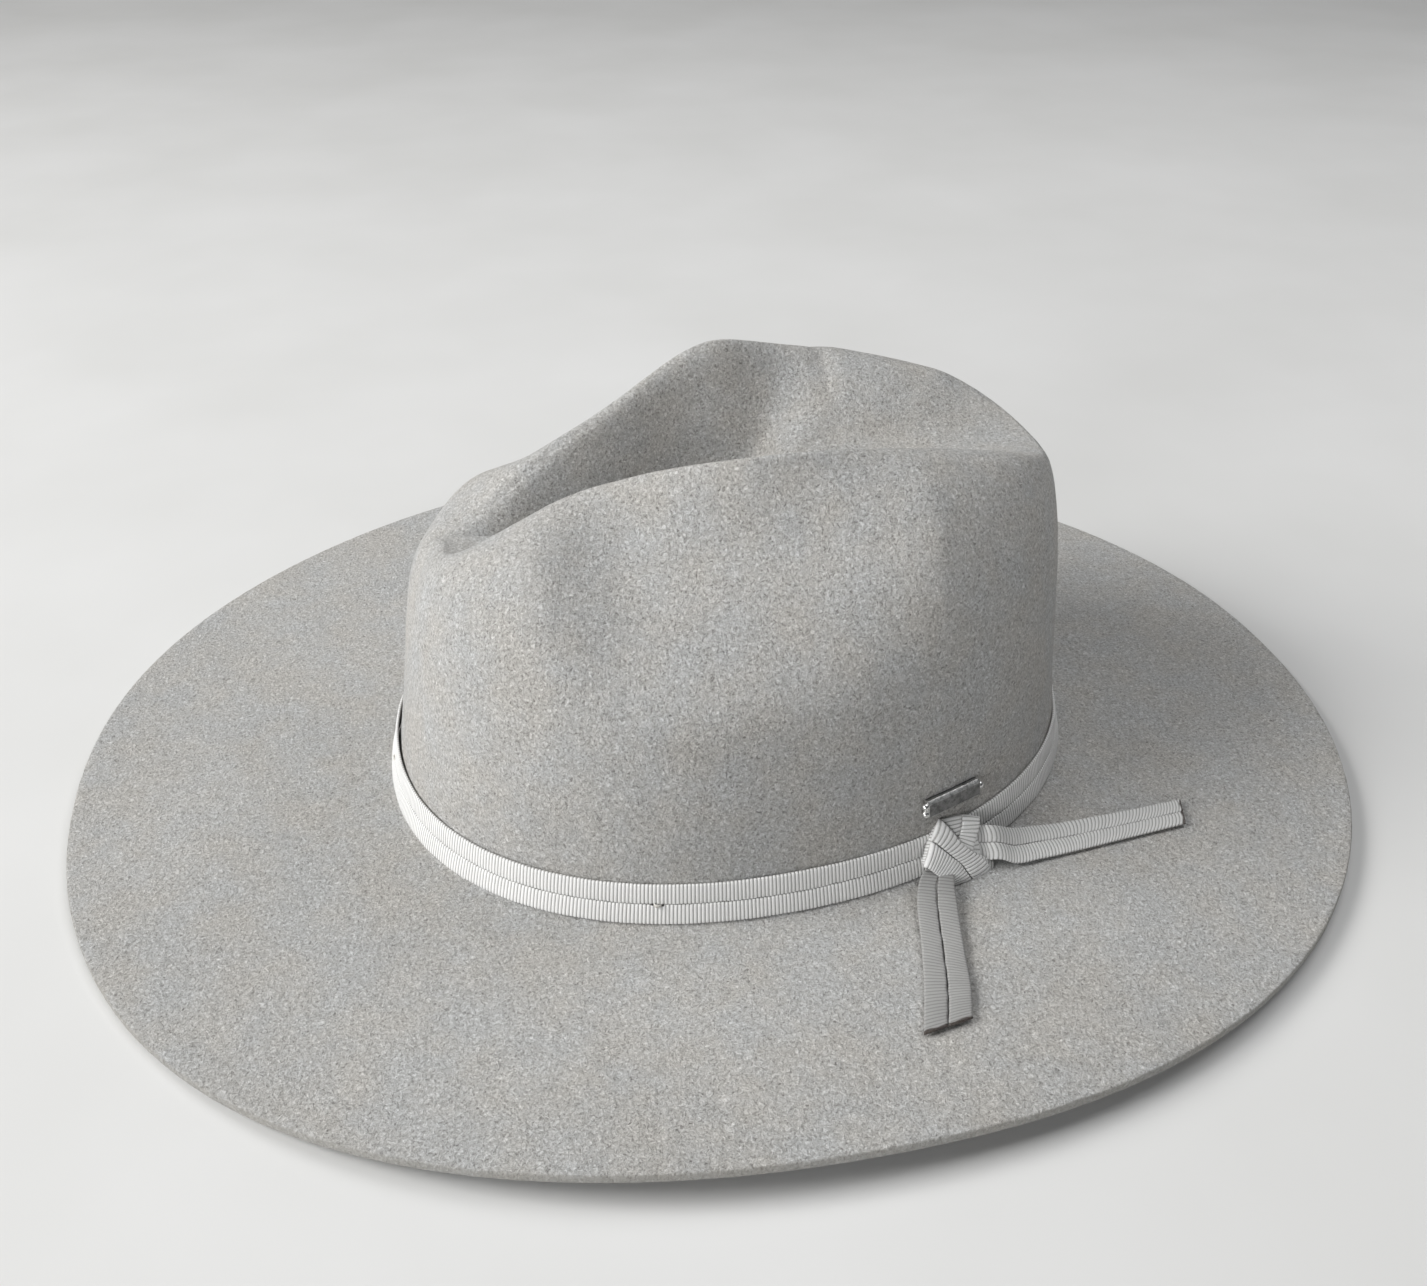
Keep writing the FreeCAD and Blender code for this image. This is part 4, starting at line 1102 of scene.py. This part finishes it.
for t, k in stations:
    for j, (s_, o_) in enumerate(sec):
        q = (sm_c[0] + (s_ - sm_c[0]) * k, max(o0, sm_c[1] + (o_ - sm_c[1]) * k))
        wv = 0.012 * math.sin(t * 3.1 + j)
        tv.append(pp(t, q[0], q[1] + wv * (j not in (0, 9))))
        # the bevel faces and the end faces are marked for the lighter metal: worn edges and painted highlight
        ta.append(1.0 if j in (2, 3, 6, 7, 8) or k < 0.99 else (0.35 if j in (1, 4, 5) else 0.0))
m = len(sec)
for i in range(len(stations) - 1):
    for j in range(m):
        a, b = i * m + j, i * m + (j + 1) % m
        tf.append((a, b, b + m, a + m))
tf.append(tuple(reversed(range(m))))
tf.append(tuple((len(stations) - 1) * m + j for j in range(m)))
bar = mesh("pin_bar_plain", tv, tf, attrs={"wear_and_highlight": ta}, flat_angle=24)
fix_normals(bar)
put(bar, "hat", "pin_metal", PIN, "pin_bar")


def lathe(c, axis, prof, n=28, start=0):
    """prof: (along, radius)"""
    axis = axis / np.linalg.norm(axis)
    a = np.cross(axis, (0.3, 0.2, 1.0)); a /= np.linalg.norm(a)
    b = np.cross(axis, a)
    v, f = [], []
    for al, r in prof:
        for q in range(n):
            w = 2 * math.pi * q / n
            v.append(c + axis * al + (a * math.cos(w) + b * math.sin(w)) * r)
    for k in range(len(prof) - 1):
        for q in range(n):
            p = (q + 1) % n
            f.append((start + k * n + q, start + k * n + p, start + (k + 1) * n + p, start + (k + 1) * n + q))
    f.append(tuple(start + q for q in reversed(range(n))))
    f.append(tuple(start + (len(prof) - 1) * n + q for q in range(n)))
    return v, f


def bead_profile(r, flat=1.0):
    p = [(-r * 1.05 * flat, r * 0.42), (-r * 0.98 * flat, r * 0.50)]
    for a in np.linspace(-62, 82, 13):
        p.append((r * math.sin(math.radians(a)) * flat, r * math.cos(math.radians(a))))
    return p


bv, bf = [], []
for t, s_, o_, r, sg in ((-bar_end - 0.45, 1.12, 1.2, 1.12, -1), (-bar_end - 0.45, -1.12, 1.2, 1.12, -1), (bar_end + 0.48, 0.35, 1.25, 1.15, 1)):
    v, f = lathe(pp(t, s_, o_), PD * sg, bead_profile(r), start=len(bv))
    bv += v
    bf += f
# collar that carries the beads at each end
for sg in (-1, 1):
    prof = [(-0.30, 0.55), (-0.22, 0.86), (0.0, 0.93), (0.16, 0.86), (0.22, 0.60)]
    v, f = lathe(pp(sg * (bar_end + 0.12), 0, 0.98), PD * sg, prof, start=len(bv))
    bv += v
    bf += f
beads = mesh("pin_end_beads_bright", bv, bf)
fix_normals(beads)
put(beads, "hat", "pin_bright_metal", BRIGHT, "pin_end_beads")
for n_ in ("pin_prongs", "pin_backing_plate"):
    NODES[n_].data.materials.clear()
    NODES[n_].data.materials.append(PIN)

# ============================================================ sweatband and its trimmings
NS = 480
sth = [2 * math.pi * i / NS for i in range(NS)]


def sw(off, z):
    return np.array([base(t, off(t) if callable(off) else off, z) for t in sth])


def wavy(t, z, a):
    return a * (0.6 * math.sin(5 * t + 0.7) + 0.5 * math.sin(11 * t + 2.0) + 0.3 * math.sin(23 * t + 1.0)) * smooth(z / 30)


SW_Z = [0.3, 0.9, 1.8, 2.6, 3.4, 5, 8, 12, 16, 20, 24, 28, 31, 33, 34.2]
rings, rim = [], []
for z in SW_Z:                                     # cavity side, going up
    groove = 0.22 * math.exp(-((z - 2.6) / 0.55) ** 2)
    rings.append(sw(lambda t: -5.0 - (wall_in(t, z) + 0.2) * min(1, z / 3) - wavy(t, z, 0.22) + groove, z))
    rim.append(max(0, 1 - (35 - z) / 1.2))
rings.append(sw(lambda t: -4.92 - 0.2 - wall_in(t, 34.8) - wavy(t, 34.8, 0.22), 34.8)); rim.append(1)
rings.append(sw(lambda t: -4.7 - 0.2 - wall_in(t, 35) - wavy(t, 35, 0.22), 35.0)); rim.append(1)
rings.append(sw(lambda t: -4.3 - 0.2 - wall_in(t, 34.8) - wavy(t, 34.8, 0.22), 34.8)); rim.append(1)
for z in reversed(SW_Z[::2]):
    rings.append(sw(lambda t: -4.15 - (wall_in(t, z) + 0.2) * min(1, z / 3) - wavy(t, z, 0.22), z))
    rim.append(0)
sweat = closed_shell("sweatband_leather_strip", rings, attrs={"rim": np.repeat(rim, NS)})
fix_normals(sweat)
put(sweat, "hat", "sweatband_leather", LEATHER, "sweatband")

v, f = line_tube(np.array([base(t, -4.3, -0.95) for t in sth]), 0.8, 12, closed=True)
reed = mesh("sweatband_reed_cord", v, f)
fix_normals(reed)
put(reed, "hat", "reed_plastic", REED, "sweatband_reed")
rings = []
for o_, z in ((-3.05, -0.9), (-3.15, 0.2), (-3.55, 1.6), (-3.9, 4.0), (-3.75, 4.1), (-3.6, 4.0), (-3.2, 1.6), (-2.85, 0.2), (-2.75, -0.9), (-2.9, -1.05)):
    rings.append(np.array([base(t, o_ + 0.05 * math.sin(140 * t), z + 0.05 * math.sin(97 * t)) for t in sth]))
tape = closed_shell("reed_tape_strip", rings)
fix_normals(tape)
put(tape, "hat", "tape", TAPE, "reed_tape")

# lock stitches along the sweatband's lower edge
tv, tf = [], []
n_st = 190
for q in range(n_st):
    t0 = 2 * math.pi * q / n_st
    if abs(t0 - math.pi / 2) < 0.005:
        continue
    L = 0.74 * 2 * math.pi / n_st
    pts = []
    for a in np.linspace(0, 1, 7):
        t = t0 + L * a
        d = 0.20 * math.sin(math.pi * a) - 0.10
        pts.append(base(t, -5.0 - (wall_in(t, 2.6) + 0.2) * 2.6 / 3 - d - 0.02, 2.6 + 0.10 * (a - 0.5)))
    v, f = line_tube(pts, 0.24, 7, start=len(tv), taper=True, lobes=2, lobe=0.12, twist=5.0)
    tv += v
    tf += f
stitch = mesh("sweatband_stitches", tv, tf)
fix_normals(stitch)
put(stitch, "hat", "thread", STITCH, "sweatband_stitching")


# small bow at the back of the sweatband
def bowp(s, o, z):
    th = math.pi / 2 - s / 84.0
    return base(th, -6.75 - o, z)


bow_parts = []
for sg in (1, -1):
    A, B = [], []
    for s, o, hh in ((0.4, 0.25, 1.0), (4.0, 0.30, 2.3), (9.0, 0.28, 3.3), (12.6, 0.22, 3.2), (13.6, 0.55, 3.1), (12.2, 0.98, 3.1), (8.0, 1.0, 2.7), (4.0, 0.86, 1.9), (0.5, 0.70, 0.9)):
        A.append(bowp(sg * s, o * 0.62 + 0.05, 7.5 - hh))
        B.append(bowp(sg * s, o * 0.62 + 0.05, 7.5 + hh))
    o = ribbon("b%d" % sg, A, B, (0, -1, 0), halves=1, thick=0.30, rib=0.05, scallop=0.03, pitch=0.8, per=6)
    bow_parts.append(o)
    A, B = [], []
    for s, z, w in ((0.5, 6.8, 0.9), (3.0, 5.9, 1.3), (6.0, 5.2, 1.35), (9.2, 4.7, 1.3)):
        A.append(bowp(sg * s, 0.02, z - w * 0.9))
        B.append(bowp(sg * (s + 0.5), 0.02, z + w * 0.9))
    o = ribbon("t%d" % sg, A, B, (0, -1, 0), halves=1, thick=0.24, rib=0.05, scallop=0.03, pitch=0.8, per=6, cut=(False, True))
    bow_parts.append(o)
A = [bowp(-1.5, 0.3, 9.0), bowp(-1.6, 0.75, 8.4), bowp(-1.7, 0.85, 7.5), bowp(-1.6, 0.75, 6.6), bowp(-1.5, 0.3, 6.0)]
B = [bowp(1.5, 0.3, 9.0), bowp(1.6, 0.75, 8.4), bowp(1.7, 0.85, 7.5), bowp(1.6, 0.75, 6.6), bowp(1.5, 0.3, 6.0)]
bow_parts.append(ribbon("bk", A, B, (0, -1, 0), halves=1, thick=0.42, rib=0.06, scallop=0.03, pitch=0.8, per=6))
for o in bow_parts:
    o.data.materials.append(BOW)
bow = merge("sweatband_bow_ribbon", bow_parts)
put(bow, "hat", "bow_ribbon", BOW, "sweatband_bow")

# ============================================================ lining
NL = 400
GL = surface(NL)
GL = relax(GL, K_WALL + 30, NV - 1, 14)
NL_N = ring_normals(GL)
base_z = np.array([base(2 * math.pi * i / NL)[2] for i in range(NL)])


def lining_grid(extra, k):
    z = GL[:, k, 2] - base_z
    w = np.clip((z - 34) / 10.0, 0, 1)
    w = w * w * (3 - 2 * w)
    t = min(1.0, max(0.0, (k - K_CREST + 15) / 20.0))
    t = t * t * (3 - 2 * t)
    return 2.75 + extra + 1.4 * w + 1.6 * t


rel0 = K_CREST - 20
LA = np.stack([GL[:, k] - NL_N[:, k] * (lining_grid(0.0, k))[:, None] for k in range(NV)], 1)
LA = relax(LA, rel0, NV - 1, 40)
LN = ring_normals(LA)
tip = K_CREST - 13
ang = np.array([2 * math.pi * i / NL for i in range(NL)])
fold = (0.45 * np.sin(38 * ang + 2.2 * np.sin(3 * ang)) + 0.30 * np.sin(61 * ang + 1.3 * np.sin(5 * ang + 1)) + 0.25 * np.sin(17 * ang + 0.5))


# the side lining starts level, behind the sweatband, and runs up to the seam round the tip
side_u = np.linspace(0, 1, 34)
SP, SN = np.zeros((NL, len(side_u), 3)), np.zeros((NL, len(side_u), 3))
ks = np.arange(NV, dtype=float)
for i in range(NL):
    zr = GL[i, :, 2] - base_z[i]
    k0 = np.interp(28.5, zr[K_WALL:K_CREST], ks[K_WALL:K_CREST])
    at = k0 + side_u * (tip - 2 - k0)
    for j in range(3):
        SP[i, :, j] = np.interp(at, ks, LA[i, :, j])
        SN[i, :, j] = np.interp(at, ks, LN[i, :, j])
SN /= np.linalg.norm(SN, axis=2, keepdims=True)


def pleat(u):
    return (fold + 0.25) * (0.10 + 0.68 * u ** 1.5)


rings = [SP[:, q] - SN[:, q] * (0.55 + pleat(u))[:, None] for q, u in enumerate(side_u)]
rings += [SP[:, q] - SN[:, q] * (0.05 + 0.9 * pleat(side_u[q]))[:, None] for q in reversed(range(len(side_u)))]
side = closed_shell("lining_side_satin", rings)
fix_normals(side)
put(side, "hat", "satin", SATIN, "lining_side")

wr = np.zeros((NL, NV))
for i in range(NL):
    for k in range(tip, NV):
        x, y, z = LA[i, k]
        wr[i, k] = 0.45 * noise.noise(Vector((x / 11, y / 17, z / 14))) + 0.12 * noise.noise(Vector((x / 3.5, y / 6, 0.2)))
tip_rows = list(range(tip, NV - 1, 2))
rings = [LA[:, k] - LN[:, k] * (0.05 + wr[:, k])[:, None] for k in reversed(tip_rows)]
rings += [LA[:, k] - LN[:, k] * (0.55 + wr[:, k])[:, None] for k in tip_rows]
V = np.concatenate(rings)
nr = len(rings)
F = ring_grid_faces(NL, nr)
V = np.vstack([V, (LA[:, -1] - LN[:, -1] * 0.05).mean(0), (LA[:, -1] - LN[:, -1] * 0.55).mean(0)])
for i in range(NL):
    j = (i + 1) % NL
    F.append((nr * NL, j, i))
    F.append(((nr - 1) * NL + i, (nr - 1) * NL + j, nr * NL + 1))
tipo = mesh("lining_tip_satin", V, F)
fix_normals(tipo)
put(tipo, "hat", "satin", SATIN, "lining_tip")

mid = (LA[:, tip - 2] + LA[:, tip]) / 2 - LN[:, tip - 1] * 0.3
v, f = line_tube(mid, 1.2, 12, closed=True, lobes=3, lobe=0.10, twist=2 * math.pi / 7.2)
pip = mesh("lining_piping_cord", v, f)
fix_normals(pip)
put(pip, "hat", "satin_piping", PIPING, "lining_piping")

# ============================================================ floor, light, camera
me = bpy.data.meshes.new("floor")
S = 3.0
me.from_pydata([(-S, -S, 0), (S, -S, 0), (S, S, 0), (-S, S, 0)], [], [(0, 1, 2, 3)])
floor = bpy.data.objects.new("floor", me)
bpy.context.scene.collection.objects.link(floor)
g = Nodes("floor")
n = g.noise(8, 3, 0.5)
g.put("Base Color", g.ramp(n, [(0.3, (0.74, 0.74, 0.73)), (0.7, (0.79, 0.79, 0.785))]))
g.set(Roughness=0.85)
me.materials.append(g.m)


def area(name, loc, target, size, energy, color):
    L = bpy.data.lights.new(name, "AREA")
    L.energy = energy
    L.shape = "RECTANGLE"
    L.size, L.size_y = size
    L.color = color
    o = bpy.data.objects.new(name, L)
    bpy.context.scene.collection.objects.link(o)
    o.location = loc
    o.rotation_euler = (Vector(target) - Vector(loc)).to_track_quat("-Z", "Y").to_euler()
    return o


kd = Vector((-0.03, -0.80, 0.60)).normalized()
area("key", kd * 2.4, (0, 0, 0.03), (1.45, 1.12), 53.0, (1.0, 0.995, 0.98))
area("top", Vector((-0.12, 0.36, 0.92)).normalized() * 1.6, (0, 0, 0.03), (1.2, 1.2), 11.0, (0.99, 0.995, 1.0))
area("fill", Vector((0.68, -0.70, 0.21)).normalized() * 3.0, (0, 0, 0.05), (2.0, 0.7), 29.0, (0.985, 0.99, 1.0))
world = bpy.data.worlds.new("studio")
bpy.context.scene.world = world
world.use_nodes = True
world.node_tree.nodes["Background"].inputs[0].default_value = (0.96, 0.975, 1.0, 1)
world.node_tree.nodes["Background"].inputs[1].default_value = 0.07

az, el, roll = math.radians(77.78), math.radians(33.02), math.radians(-0.8)
dist, target = 0.4914, Vector((-0.0260, 0.0072, 0.0172))
back = Vector((math.sin(az) * math.cos(el), -math.cos(az) * math.cos(el), math.sin(el)))
fwd = -back
right = fwd.cross(Vector((0, 0, 1))).normalized()
upv = right.cross(fwd)
r2 = math.cos(roll) * right + math.sin(roll) * upv
u2 = -math.sin(roll) * right + math.cos(roll) * upv
M4 = Matrix((r2, u2, back)).transposed().to_4x4()
M4.translation = target + back * dist
cam = bpy.data.cameras.new("camera")
cam.lens = 37.84
cam.sensor_width = 36.0
cam.sensor_fit = "HORIZONTAL"
cam.clip_start = 0.01
cam_o = bpy.data.objects.new("camera", cam)
cam_o.matrix_world = M4
bpy.context.scene.collection.objects.link(cam_o)
bpy.context.scene.camera = cam_o
bpy.context.scene.view_settings.view_transform = "Standard"
